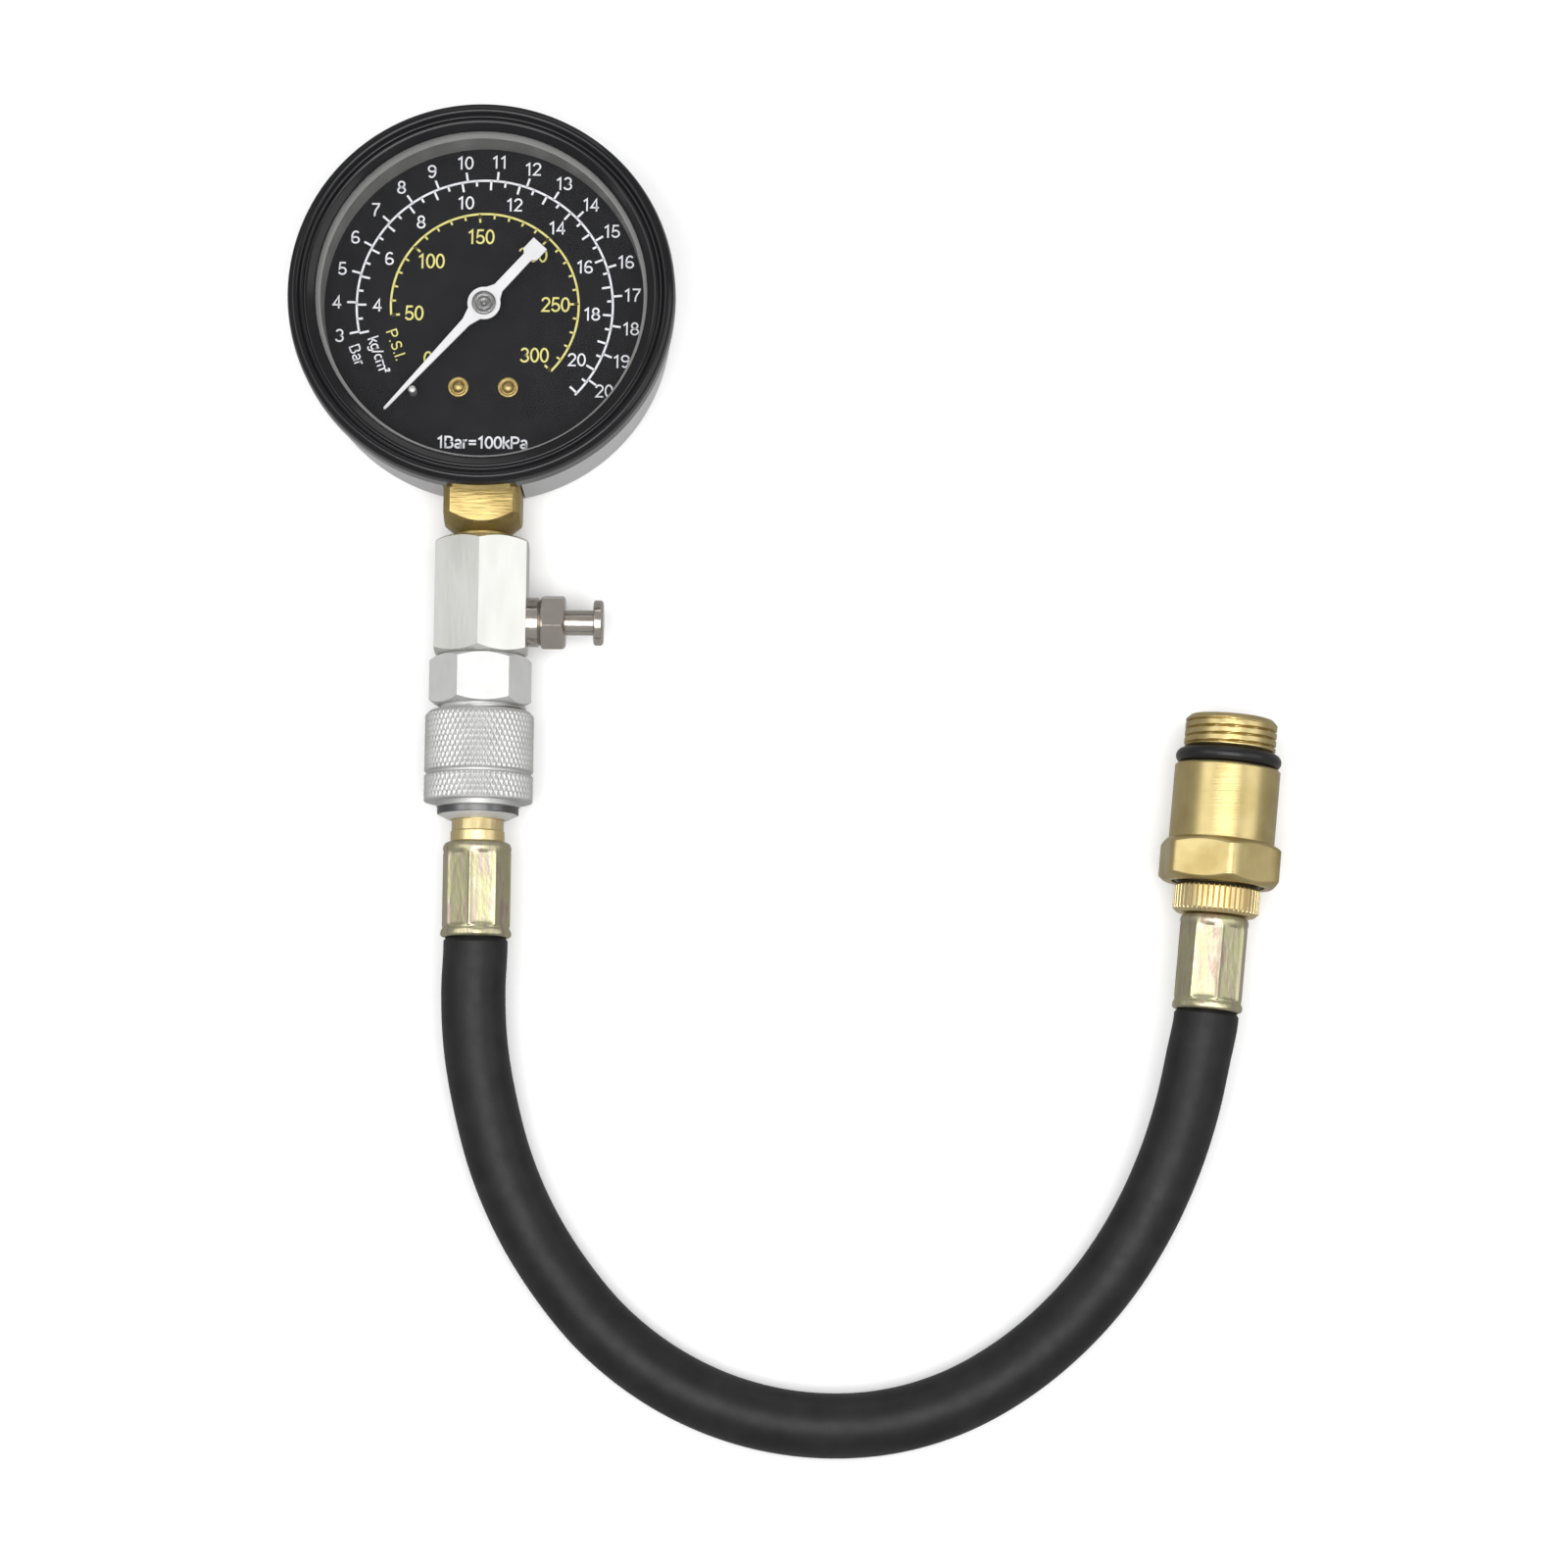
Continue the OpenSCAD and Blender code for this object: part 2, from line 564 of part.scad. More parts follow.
// Hose line
module coupler_plug() {
    groove = 4.35;
    color([0.78, 0.64, 0.36]) on_stem() union() {
        difference() {
            turned([[0, 81], [3.4, 81], [3.9, 81.6], [3.9, 88.4], [plug_r, 89], [plug_r, ball_at - 2.4],
                [groove, ball_at - 1.5], [groove, ball_at + 1.5], [plug_r, ball_at + 2.4],
                [plug_r, mouth + 2.2],
                [5.3, mouth + 2.4], [5.3, ferrule_top - 0.05], [4.2, ferrule_top - 0.05],
                [4.2, ferrule_top + ferrule_floor],
                [0, ferrule_top + ferrule_floor]]);
            rod(1.5, 80, ferrule_top + 2);
        }
        translate([0, 0, ferrule_top + ferrule_floor]) mirror([0, 0, 1]) barb(15);
    }
}
module upper_ferrule() { color([0.8, 0.68, 0.5]) on_stem() translate([0, 0, ferrule_top]) ferrule(); }
module lower_ferrule() {
    color([0.8, 0.68, 0.5]) on_adapter() translate([0, 0, ferrule_len]) mirror([0, 0, 1]) ferrule();
}
module hose() {
    n = hose_sides;
    outer = [for (i = [0 : hose_last]) each hose_ring(i, hose_radius(i))];
    inner = [for (i = [0 : hose_last]) each hose_ring(i, hose_bore_r)];
    base = len(outer);
    walls = [for (i = [0 : hose_last - 1], k = [0 : n - 1]) let (m = (k + 1) % n)
        [n * i + k, n * i + m, n * (i + 1) + m, n * (i + 1) + k]];
    bores = [for (i = [0 : hose_last - 1], k = [0 : n - 1]) let (m = (k + 1) % n)
        [base + n * i + k, base + n * (i + 1) + k, base + n * (i + 1) + m, base + n * i + m]];
    ends = [for (i = [0, hose_last], k = [0 : n - 1]) let (m = (k + 1) % n, a = n * i, b = base + n * i)
        i == 0 ? [a + k, b + k, b + m, a + m] : [a + k, a + m, b + m, b + k]];
    color([0.17, 0.17, 0.17]) polyhedron(concat(outer, inner), concat(walls, bores, ends), convexity = 10);
}
module hose_end() {
    r = 8.45;
    color([0.8, 0.7, 0.42]) on_adapter() union() {
        difference() {
            union() {
                rod(4.2, ring_from - ferrule_floor, ring_from + 1);
                intersection() {
                    translate([0, 0, ring_from + 0.05]) linear_extrude(hex_from - ring_from - 0.1)
                        polygon([for (k = [0 : flute_count - 1], e = [0 : 3])
                            let (a = 360 * (k + e / 4) / flute_count)
                            (e < 2 ? r : r - 0.45) * [cos(a), sin(a)]]);
                    turned([[0, ring_from], [r - 0.8, ring_from], [r, ring_from + 0.8], [r, hex_from - 0.8],
                        [r - 0.8, hex_from], [0, hex_from]]);
                }
                rod(7, hex_from - 0.5, spigot_end);
            }
            rod(1.5, 0, valve_from + 1);
            rod(2.6, valve_from, spigot_end + 1);
        }
        translate([0, 0, ring_from - ferrule_floor]) barb(15);
    }
}
module hose_end_seal() { color([0.1, 0.1, 0.1]) on_adapter() o_ring(8, 0.95, hex_from + 1); }
module spark_plug_adapter() {
    thread_r = thread_d / 2;
    neck = thread_r - 1.67;
    color([0.8, 0.7, 0.42]) on_adapter() rotate(adapter_turn) difference() {
        union() {
            hex_bar(adapter_af, hex_from, body_from, 90);
            turned([[0, body_from - 1], [adapter_body_r, body_from - 1], [adapter_body_r, seal_from - 0.5],
                [adapter_body_r - 0.5, seal_from], [neck, seal_from], [neck, thread_from],
                [thread_r - 0.6, thread_from],
                [thread_r, thread_from + 0.6], [thread_r, nose_end - 1], [thread_r - 1, nose_end],
                [0, nose_end]]);
        }
        rod(9.1, hex_from - 1, hex_from + 2.1);
        rod(7.05, hex_from, spigot_end + 1.2);
        rod(4.5, spigot_end, nose_end + 1);
    }
}
module adapter_seal() {
    color([0.07, 0.07, 0.07]) on_adapter() o_ring(thread_d / 2 - 0.15, 1.5, seal_from + 1.52);
}
module check_valve_body() { color([0.8, 0.7, 0.42]) on_adapter() ring(0.85, 2.56, core_from, core_end); }
module check_valve_pin() {
    head = valve_from + 0.9;
    seat = core_from - 0.3;
    color([0.7, 0.7, 0.7]) on_adapter() turned([[0, head], [1.9, head], [1.9, seat], [0.76, seat],
        [0.76, pin_end - 0.6], [1.6, pin_end - 0.6], [1.6, pin_end], [0, pin_end]]);
}
module check_valve_spring() {
    color([0.7, 0.7, 0.7]) on_adapter() coil(1.25, 0.22, core_end + 0.05, pin_end - 0.65, 4);
}

case();
bezel();
lens();
lens_gasket();
spacer_ring();
dial();
dial_screws();
stop_pin();
pointer();
pointer_bush();
pinion();
sector_gear();
sector_arbor();
front_plate();
back_plate();
plate_pillars();
hairspring();
link();
pressure_tube();
tube_tip();
stem();
case_screws();
bleed_block();
bleed_body();
bleed_button();
bleed_spring();
bleed_seal();
coupler_body();
coupler_sleeve();
sleeve_spring();
locking_balls();
snap_ring();
coupler_seal();
coupler_plug();
upper_ferrule();
hose();
lower_ferrule();
hose_end();
hose_end_seal();
spark_plug_adapter();
adapter_seal();
check_valve_body();
check_valve_pin();
check_valve_spring();
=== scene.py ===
# %% [markdown]
# # A compression tester gauge
# The gauge lies on its back: a dial in a black bezel, an aluminium block with a bleed valve, a knurled quick
# coupler, a rubber hose and a brass adapter that screws into a spark plug hole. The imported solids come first, as a
# frame that nothing here moves. Every new piece is written in the same frame, so it needs no fitting.

# %% Load the frame
import bmesh
import bpy
import numpy as np
from mathutils import Matrix


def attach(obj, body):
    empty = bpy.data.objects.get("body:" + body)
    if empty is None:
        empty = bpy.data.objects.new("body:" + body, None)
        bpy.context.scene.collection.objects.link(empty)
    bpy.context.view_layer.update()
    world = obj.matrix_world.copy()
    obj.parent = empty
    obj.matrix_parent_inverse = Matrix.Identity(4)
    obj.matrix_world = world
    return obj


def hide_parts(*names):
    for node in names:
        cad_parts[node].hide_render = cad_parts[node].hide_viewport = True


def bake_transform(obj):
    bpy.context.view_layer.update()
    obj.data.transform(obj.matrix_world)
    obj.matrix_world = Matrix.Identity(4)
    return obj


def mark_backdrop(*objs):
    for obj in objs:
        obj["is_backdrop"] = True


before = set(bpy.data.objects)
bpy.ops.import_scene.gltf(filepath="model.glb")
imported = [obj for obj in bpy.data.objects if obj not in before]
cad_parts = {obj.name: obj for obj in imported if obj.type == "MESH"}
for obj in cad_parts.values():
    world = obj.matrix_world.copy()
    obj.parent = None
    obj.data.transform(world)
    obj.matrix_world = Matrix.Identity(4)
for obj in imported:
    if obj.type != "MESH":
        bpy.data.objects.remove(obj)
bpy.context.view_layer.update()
MM = 0.001

# %% [markdown]
# ## The camera
# The photograph looks almost straight down, leaning a few degrees from the hose side, with a long lens. A camera
# could be aimed with a constraint, but a matrix of its right, up and view directions says the same in three lines.

# %% Camera
EYE = np.array([60.1, -200.9, 910.5])
VIEW = np.array([0.0, 0.1184, -0.9930])
UP = np.array([-0.0105, 0.9929, 0.1184])
lens_view = bpy.data.cameras.new("photo_camera")
lens_view.lens = 105.75
lens_view.sensor_width = 36.0
camera = bpy.data.objects.new("photo_camera", lens_view)
bpy.context.scene.collection.objects.link(camera)
right = np.cross(VIEW, UP)
pose = np.eye(4)
pose[:3, 0], pose[:3, 1], pose[:3, 2], pose[:3, 3] = right, UP, -VIEW, EYE * MM
camera.matrix_world = Matrix(pose.tolist())
bpy.context.scene.camera = camera
print("camera at", (EYE * MM).round(3))

# %% [markdown]
# ## Surfaces from arrays
# Nearly every piece of this tool came off a lathe, so one helper does most of the work: rows of points run along a
# profile, columns run round the axis, and neighbouring points make quads. A second helper rounds the corners of a
# profile, because a sharp edge catches no light.

# %% Surface helpers
def add_piece(name, points, faces, sharp=32.0):
    """Points in millimetres and faces become an object at the origin, with doubles merged and normals outwards."""
    mesh = bpy.data.meshes.new(name)
    mesh.from_pydata((np.asarray(points).reshape(-1, 3) * MM).tolist(), [], np.asarray(faces).tolist())
    work = bmesh.new()
    work.from_mesh(mesh)
    bmesh.ops.remove_doubles(work, verts=work.verts, dist=1e-8)
    bmesh.ops.recalc_face_normals(work, faces=work.faces)
    work.to_mesh(mesh)
    work.free()
    mesh.polygons.foreach_set("use_smooth", np.ones(len(mesh.polygons), bool))
    mesh.set_sharp_from_angle(angle=np.radians(sharp))
    piece = bpy.data.objects.new(name, mesh)
    bpy.context.scene.collection.objects.link(piece)
    return piece


def grid_faces(rows, columns, ring):
    """Each point, its neighbour round the axis and the same two in the next row make one quad."""
    index = np.arange(rows * columns).reshape(rows, columns)
    here = index if ring else index[:-1]
    below = np.roll(index, -1, axis=0) if ring else index[1:]
    return np.stack([here, np.roll(here, -1, 1), np.roll(below, -1, 1), below], -1).reshape(-1, 4)


def rounded(corners, size, steps=4, loop=False):
    """Each corner P is cut back by size to A and B and bridged by (1-t)^2 A + 2t(1-t) P + t^2 B."""
    p = np.asarray(corners, float)
    here = p if loop else p[1:-1]
    before = np.roll(p, 1, 0) if loop else p[:-2]
    after = np.roll(p, -1, 0) if loop else p[2:]

    def cut_back(other):
        side = np.linalg.norm(other - here, axis=1, keepdims=True)
        return here + (other - here) * np.minimum(size / side, 0.45)

    t = np.linspace(0, 1, steps + 1)[None, :, None]
    a, b, c = cut_back(before)[:, None], here[:, None], cut_back(after)[:, None]
    curve = ((1 - t) ** 2 * a + 2 * t * (1 - t) * b + t ** 2 * c).reshape(-1, 2)
    return curve if loop else np.vstack([p[:1], curve, p[-1:]])


def filled(profile, step, loop=False):
    """Extra points every step or less along a profile, so that a pattern cut into it has enough rows."""
    p = np.vstack([profile, profile[:1]]) if loop else np.asarray(profile)
    along = np.concatenate([[0], np.cumsum(np.linalg.norm(np.diff(p, axis=0), axis=1))])
    extra = np.arange(0, along[-1], step)
    s = np.unique(np.concatenate([along, extra]).round(5))
    s = s[:-1] if loop else s
    return np.stack([np.interp(s, along, p[:, 0]), np.interp(s, along, p[:, 1])], -1)


def soft_min(a, b, k):
    """The smaller of two lengths, with the corner between them rounded over a band k."""
    h = np.clip(k - np.abs(a - b), 0, None) / k
    return np.minimum(a, b) - h * h * k / 4


def flats(count, across, phase=0.0, edge=0.25):
    """A flat at distance across/2 has the radius across/2 over the cosine of the angle from its middle."""
    def shape(a, r, z):
        pitch = 2 * np.pi / count
        d = np.abs((a - phase + pitch / 2) % pitch - pitch / 2)
        near = across / 2 / np.cos(d)
        beside = across / 2 / np.maximum(np.cos(pitch - d), 0.05)
        return soft_min(r, soft_min(near, beside, edge), edge)
    return shape


def lathe(name, profile, axis, columns=192, shape=None, loop=False):
    """x = r cos a, y = r sin a, z = height, with r from the profile and then cut by shape(a, r, z)."""
    p = np.asarray(profile, float)
    a = np.linspace(0, 2 * np.pi, columns, endpoint=False)[None, :]
    r, z = np.broadcast_to(p[:, :1], (len(p), columns)), np.broadcast_to(p[:, 1:], (len(p), columns))
    r = shape(a, r, z) if shape else r
    local = np.stack([r * np.cos(a), r * np.sin(a), z], -1)
    origin, directions = axis
    piece = add_piece(name, local @ directions + origin, grid_faces(len(p), columns, loop))
    print(name, len(piece.data.polygons), "faces")
    return piece


STEM_H = 10.8
GAUGE = (np.zeros(3), np.eye(3))
COLUMN = (np.array([0, 0, STEM_H]), np.array([[1.0, 0, 0], [0, 0, 1], [0, -1, 0]]))
LEAN = np.radians(5.0)
HEX_ACROSS = 22.0
ADAPTER_FROM = np.array([143.06, -137.6, HEX_ACROSS / 2 / np.cos(np.pi / 6)])
ADAPTER = (ADAPTER_FROM, np.array([[np.cos(LEAN), -np.sin(LEAN), 0], [0, 0, -1.0],
                                   [np.sin(LEAN), np.cos(LEAN), 0]]))

# %% [markdown]
# ## The finishes
# Each finish is a Principled shader with a little of its own history: a cloudy colour, uneven gloss and a fine
# relief. They read Object coordinates in metres, so a scale of 1000 makes spots about a millimetre wide.

# %% Finishes
def finish(name, colour, metallic, rough, cloud=None, cloud_scale=120.0, stretch=(1, 1, 1), spin=(0, 0, 0),
           rough_span=0.08, relief=0.0, relief_scale=1500.0, relief_stretch=(1, 1, 1), specular=0.5):
    """Noise mixes the colour with a second one and spreads the roughness; a finer noise drives a bump."""
    material = bpy.data.materials.new(name)
    material.use_nodes = True
    nodes, links = material.node_tree.nodes, material.node_tree.links
    shader = nodes["Principled BSDF"]
    shader.inputs["Metallic"].default_value = metallic
    shader.inputs["Specular IOR Level"].default_value = specular
    shader.inputs["Base Color"].default_value = (*colour, 1)
    place = nodes.new("ShaderNodeTexCoord")

    def noise(scale, stretched, detail):
        turn = nodes.new("ShaderNodeMapping")
        turn.inputs["Rotation"].default_value = spin
        turn.inputs["Scale"].default_value = stretched
        links.new(place.outputs["Object"], turn.inputs["Vector"])
        texture = nodes.new("ShaderNodeTexNoise")
        texture.inputs["Scale"].default_value = scale
        texture.inputs["Detail"].default_value = detail
        links.new(turn.outputs["Vector"], texture.inputs["Vector"])
        return texture.outputs["Fac"]

    patches = noise(cloud_scale, stretch, 4.0)
    if cloud:
        ramp = nodes.new("ShaderNodeValToRGB")
        tones = [colour, *cloud]
        while len(ramp.color_ramp.elements) < len(tones):
            ramp.color_ramp.elements.new(0.5)
        for stop, tone, at in zip(ramp.color_ramp.elements, tones, np.linspace(0.33, 0.67, len(tones))):
            stop.position = at
            stop.color = (*tone, 1)
        links.new(patches, ramp.inputs["Fac"])
        links.new(ramp.outputs["Color"], shader.inputs["Base Color"])
    spread = nodes.new("ShaderNodeMapRange")
    spread.inputs["From Min"].default_value = 0.3
    spread.inputs["From Max"].default_value = 0.7
    spread.inputs["To Min"].default_value = rough - rough_span / 2
    spread.inputs["To Max"].default_value = rough + rough_span / 2
    links.new(noise(cloud_scale * 2.3, stretch, 3.0), spread.inputs["Value"])
    links.new(spread.outputs["Result"], shader.inputs["Roughness"])
    if relief:
        bump = nodes.new("ShaderNodeBump")
        bump.inputs["Strength"].default_value = relief
        bump.inputs["Distance"].default_value = 0.0002
        links.new(noise(relief_scale, relief_stretch, 2.0), bump.inputs["Height"])
        links.new(bump.outputs["Normal"], shader.inputs["Normal"])
    return material


ADAPTER_SPIN = (0, 0, LEAN)
TURNED = (0.02, 3.0, 0.02)
MATERIALS = {
    "black_enamel": finish("black_enamel", (0.005, 0.005, 0.006), 0.0, 0.17, [(0.008, 0.008, 0.009)], 60,
                           relief=0.02, relief_scale=900, specular=0.3),
    "grey_enamel": finish("grey_enamel", (0.44, 0.44, 0.445), 0.3, 0.34, [(0.48, 0.48, 0.485)], 40, relief=0.05),
    "pale_enamel": finish("pale_enamel", (0.20, 0.20, 0.195), 0.0, 0.45, [(0.24, 0.24, 0.235)], 60),
    "white_enamel": finish("white_enamel", (0.62, 0.62, 0.63), 0.0, 0.42, [(0.68, 0.68, 0.685)], 150, relief=0.04),
    "dial_black": finish("dial_black", (0.0050, 0.0052, 0.0066), 0.0, 0.62, [(0.0085, 0.0085, 0.0105)], 260,
                         relief=0.015, relief_scale=1800, specular=0.12),
    "print_white": finish("print_white", (0.80, 0.80, 0.84), 0.0, 0.6, [(0.72, 0.72, 0.77)], 500, specular=0.2),
    "print_yellow": finish("print_yellow", (0.70, 0.65, 0.22), 0.0, 0.6, [(0.62, 0.57, 0.19)], 500, specular=0.2),
    "black_rubber": finish("black_rubber", (0.008, 0.008, 0.0085), 0.0, 0.48, [(0.013, 0.013, 0.013)], 160,
                           relief=0.12, relief_scale=3500, specular=0.24),
    "seal_rubber": finish("seal_rubber", (0.006, 0.006, 0.006), 0.0, 0.36, [(0.009, 0.009, 0.009)], 300, relief=0.05,
                          specular=0.35),
    "gold_brass": finish("gold_brass", (0.36, 0.265, 0.10), 1.0, 0.42,
                         [(0.42, 0.32, 0.13), (0.31, 0.215, 0.075)], 150,
                         relief=0.4, relief_scale=2200, relief_stretch=(0.12, 1, 1)),
    "bright_brass": finish("bright_brass", (0.66, 0.53, 0.27), 1.0, 0.38, [(0.72, 0.60, 0.34)], 150, relief=0.1),
    "pale_brass": finish("pale_brass", (0.48, 0.385, 0.17), 1.0, 0.36, [(0.55, 0.445, 0.21), (0.43, 0.33, 0.135)], 90,
                         spin=ADAPTER_SPIN, relief=0.12, relief_scale=900, relief_stretch=TURNED),
    "yellow_zinc": finish("yellow_zinc", (0.42, 0.34, 0.29), 1.0, 0.42,
                          [(0.47, 0.42, 0.30), (0.45, 0.45, 0.25), (0.51, 0.46, 0.34), (0.42, 0.32, 0.26)], 650,
                          (1, 0.16, 1), relief=0.45, relief_scale=1100, relief_stretch=(1, 0.35, 1)),
    "nickel": finish("nickel", (0.48, 0.44, 0.395), 0.95, 0.17, [(0.53, 0.49, 0.44)], 200, relief=0.05),
    "satin_steel": finish("satin_steel", (0.48, 0.48, 0.47), 0.75, 0.5, [(0.54, 0.54, 0.53)], 220, relief=0.05),
    "pale_steel": finish("pale_steel", (0.56, 0.56, 0.55), 0.45, 0.5, [(0.61, 0.61, 0.60)], 220, relief=0.05),
    "hub_metal": finish("hub_metal", (0.20, 0.20, 0.20), 1.0, 0.3, [(0.27, 0.27, 0.265)], 300, relief=0.05),
    "steel": finish("steel", (0.64, 0.64, 0.63), 1.0, 0.3, [(0.70, 0.70, 0.69)], 220, relief=0.08, relief_scale=1200),
    "dark_steel": finish("dark_steel", (0.12, 0.12, 0.12), 1.0, 0.35, [(0.18, 0.18, 0.18)], 300),
    "aluminium": finish("aluminium", (0.69, 0.69, 0.655), 1.0, 0.36, [(0.74, 0.74, 0.71), (0.67, 0.67, 0.625)], 110,
                        (1, 0.25, 1), relief=0.07, relief_scale=1600, relief_stretch=(1, 0.15, 1)),
}
print("finishes", len(MATERIALS))

# %% [markdown]
# ## The lens
# Real glass bends light, which in a render throws a dark shadow on the dial. A thin flat window hardly bends it at
# all, so the lens is mostly transparent, with a mirror that grows stronger towards a glancing angle. A Fresnel node
# would turn the under face of a lens that doesn't bend light into a full mirror, so the usual fifth power of the
# facing angle is used, which is the same on both faces.

# %% Clear lens
def clear_lens():
    """The fifth power of one less the cosine to the face mixes a transparent shader with a mirror."""
    material = bpy.data.materials.new("clear_lens")
    material.use_nodes = True
    nodes, links = material.node_tree.nodes, material.node_tree.links
    nodes.remove(nodes["Principled BSDF"])
    mirror, through = nodes.new("ShaderNodeBsdfGlossy"), nodes.new("ShaderNodeBsdfTransparent")
    mirror.inputs["Roughness"].default_value = 0.02
    glance, mix = nodes.new("ShaderNodeLayerWeight"), nodes.new("ShaderNodeMixShader")
    steep, share = nodes.new("ShaderNodeMath"), nodes.new("ShaderNodeMapRange")
    steep.operation = "POWER"
    steep.inputs[1].default_value = 5.0
    share.inputs["To Min"].default_value = 0.015
    share.inputs["To Max"].default_value = 0.9
    links.new(glance.outputs["Facing"], steep.inputs[0])
    links.new(steep.outputs["Value"], share.inputs["Value"])
    links.new(share.outputs["Result"], mix.inputs["Fac"])
    links.new(through.outputs["BSDF"], mix.inputs[1])
    links.new(mirror.outputs["BSDF"], mix.inputs[2])
    links.new(mix.outputs["Shader"], nodes["Material Output"].inputs["Surface"])
    return material


MATERIALS["clear_lens"] = clear_lens()


def dress(piece, finish_name):
    """The piece gets one finish."""
    piece.data.materials.clear()
    piece.data.materials.append(MATERIALS[finish_name])
    return piece

# %% [markdown]
# ## The hose
# A stiff rubber hose, 12.6 mm thick, drops from the coupler to the table and turns in one wide bend to the adapter.
# Its middle line runs through the same points as the solid's, as one smooth curve. The wall and the bore are one
# closed surface: out along the outside, back along the inside.

# %% Hose
ROUTE = np.array([
    [0, -107.3, 10.8], [0, -124.4, 10.8], [0, -126, 10.7], [-0.3, -135, 10.1], [0.2, -145, 9], [2.3, -157, 7.7],
    [5.7, -169, 6.8], [10.9, -180.5, 6.4], [17.7, -191, 6.35], [25.8, -200.4, 6.35], [35.3, -208, 6.35],
    [46.2, -213.8, 6.35], [57.9, -217.4, 6.35], [70.2, -218.7, 6.35], [82.5, -217.6, 6.35], [94.4, -213.9, 6.35],
    [105.3, -207.8, 6.4], [114.9, -200, 6.5], [123.2, -190.8, 6.8], [130, -180.4, 7.5], [135.3, -169.2, 8.7],
    [139.2, -157.3, 10.4], [141.6, -146, 12], [142.92, -139.1, ADAPTER_FROM[2]],
    ADAPTER_FROM + 0.2 * ADAPTER[1][2], ADAPTER_FROM + 17.2 * ADAPTER[1][2]])
HOSE_R, CRIMPED_R, BORE_R = 6.3, 5.7, 3.2
CRIMP_LEN, HOSE_COLUMNS = 17.2, 64


def smooth_route(points, step):
    """A cubic between neighbours, whose slope at each point is that of the parabola through it and its neighbours."""
    s = np.concatenate([[0], np.cumsum(np.linalg.norm(np.diff(points, axis=0), axis=1))])
    slope = np.gradient(points, s, axis=0)
    at = np.linspace(0, s[-1], int(s[-1] / step) + 1)
    i = np.clip(np.searchsorted(s, at, side="right") - 1, 0, len(s) - 2)
    h = (s[i + 1] - s[i])[:, None]
    t = (at[:, None] - s[i][:, None]) / h
    a, b = points[i], points[i + 1]
    return ((2 * t**3 - 3 * t**2 + 1) * a + (t**3 - 2 * t**2 + t) * h * slope[i]
            + (3 * t**2 - 2 * t**3) * b + (t**3 - t**2) * h * slope[i + 1])


def tube(points, radii, columns):
    """Round each point of the path, radius times (cos a times the side direction plus sin a times the up one)."""
    heading = np.gradient(points, axis=0)
    heading /= np.linalg.norm(heading, axis=1, keepdims=True)
    side = np.cross(heading, [0, 0, 1.0])
    side /= np.linalg.norm(side, axis=1, keepdims=True)
    up = np.cross(side, heading)
    a = np.linspace(0, 2 * np.pi, columns, endpoint=False)[None, :, None]
    return points[:, None] + radii[:, None, None] * (np.cos(a) * side[:, None] + np.sin(a) * up[:, None])


hose_line = smooth_route(ROUTE, 0.9)
run = np.concatenate([[0], np.cumsum(np.linalg.norm(np.diff(hose_line, axis=0), axis=1))])
swell = np.clip(np.minimum(run - CRIMP_LEN, run[-1] - CRIMP_LEN - run) / 0.5, 0, 1)
hose_radius = CRIMPED_R + (HOSE_R - CRIMPED_R) * swell * swell * (3 - 2 * swell)
wall = tube(hose_line, hose_radius, HOSE_COLUMNS)
bore = tube(hose_line, np.full(len(hose_line), BORE_R), HOSE_COLUMNS)
hose_grid = np.concatenate([wall, bore[::-1]])
hose_faces = grid_faces(len(hose_grid), HOSE_COLUMNS, True)
hose = dress(add_piece("rubber_hose", hose_grid, hose_faces), "black_rubber")
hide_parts("hose")
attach(hose, "hose_line")
print("hose", round(run[-1], 1), "mm long")

# %% [markdown]
# ## The crimped ferrules
# A press with eight jaws squeezed each zinc plated ferrule on to the hose. It leaves eight flats with a thin raised
# line between them, a step below the shoulder and a slightly ragged lip. All of that is a radius that changes
# with the angle, so both ferrules are one turned profile with the jaws' pattern cut into it.

# %% Ferrules
FERRULE_R, FERRULE_LEN, JAWS = 6.7, 18.8, 8
FLAT_DEPTH, RIDGE_H, RIDGE_W = 0.5, 0.28, 0.3


def jaws(phase):
    """Between the shoulder and the lip the radius is the flat's, plus a thin ridge where two jaws met."""
    def shape(a, r, z):
        pitch = 2 * np.pi / JAWS
        d = np.abs((a - phase + pitch / 2) % pitch - pitch / 2)
        flat = (FERRULE_R - FLAT_DEPTH) / np.cos(d)
        ridge = RIDGE_H * np.exp(-((pitch / 2 - d) * FERRULE_R / RIDGE_W) ** 2)
        zone = np.clip((z - 1.9) / 0.45, 0, 1) * np.clip((FERRULE_LEN - 1.8 - z) / 0.7, 0, 1)
        pressed = r + (np.minimum(flat, FERRULE_R - 0.16) + ridge - r) * zone
        ragged = 0.14 * np.sin(JAWS * (a - phase) + 0.6) * np.clip((z - FERRULE_LEN + 1.8) / 1.0, 0, 1)
        return np.where(r > CRIMPED_R + 0.3, pressed + ragged, r)
    return shape


def ferrule(name, axis, phase):
    """Shoulder, crimped barrel, lip, and back along the inside."""
    lip = FERRULE_LEN - 0.4
    outline = [(4.3, 0), (5.6, 0), (6.4, 0.35), (FERRULE_R, 1.1), (FERRULE_R, lip - 1.8), (6.5, lip - 1.4),
               (6.82, lip - 0.9), (6.82, lip), (6.4, lip + 0.4), (5.8, lip + 0.4), (5.8, 1.4), (4.3, 1.4)]
    profile = filled(rounded(outline, 0.22, 3, True), 0.5, True)
    return lathe(name, profile, axis, 256, jaws(phase), True)


def moved(axis, along, flip=False):
    """The same axis, starting further along, and facing back where flip is set."""
    origin, d = axis
    return origin + along * d[2], (np.array([d[0], -d[1], -d[2]]) if flip else d)


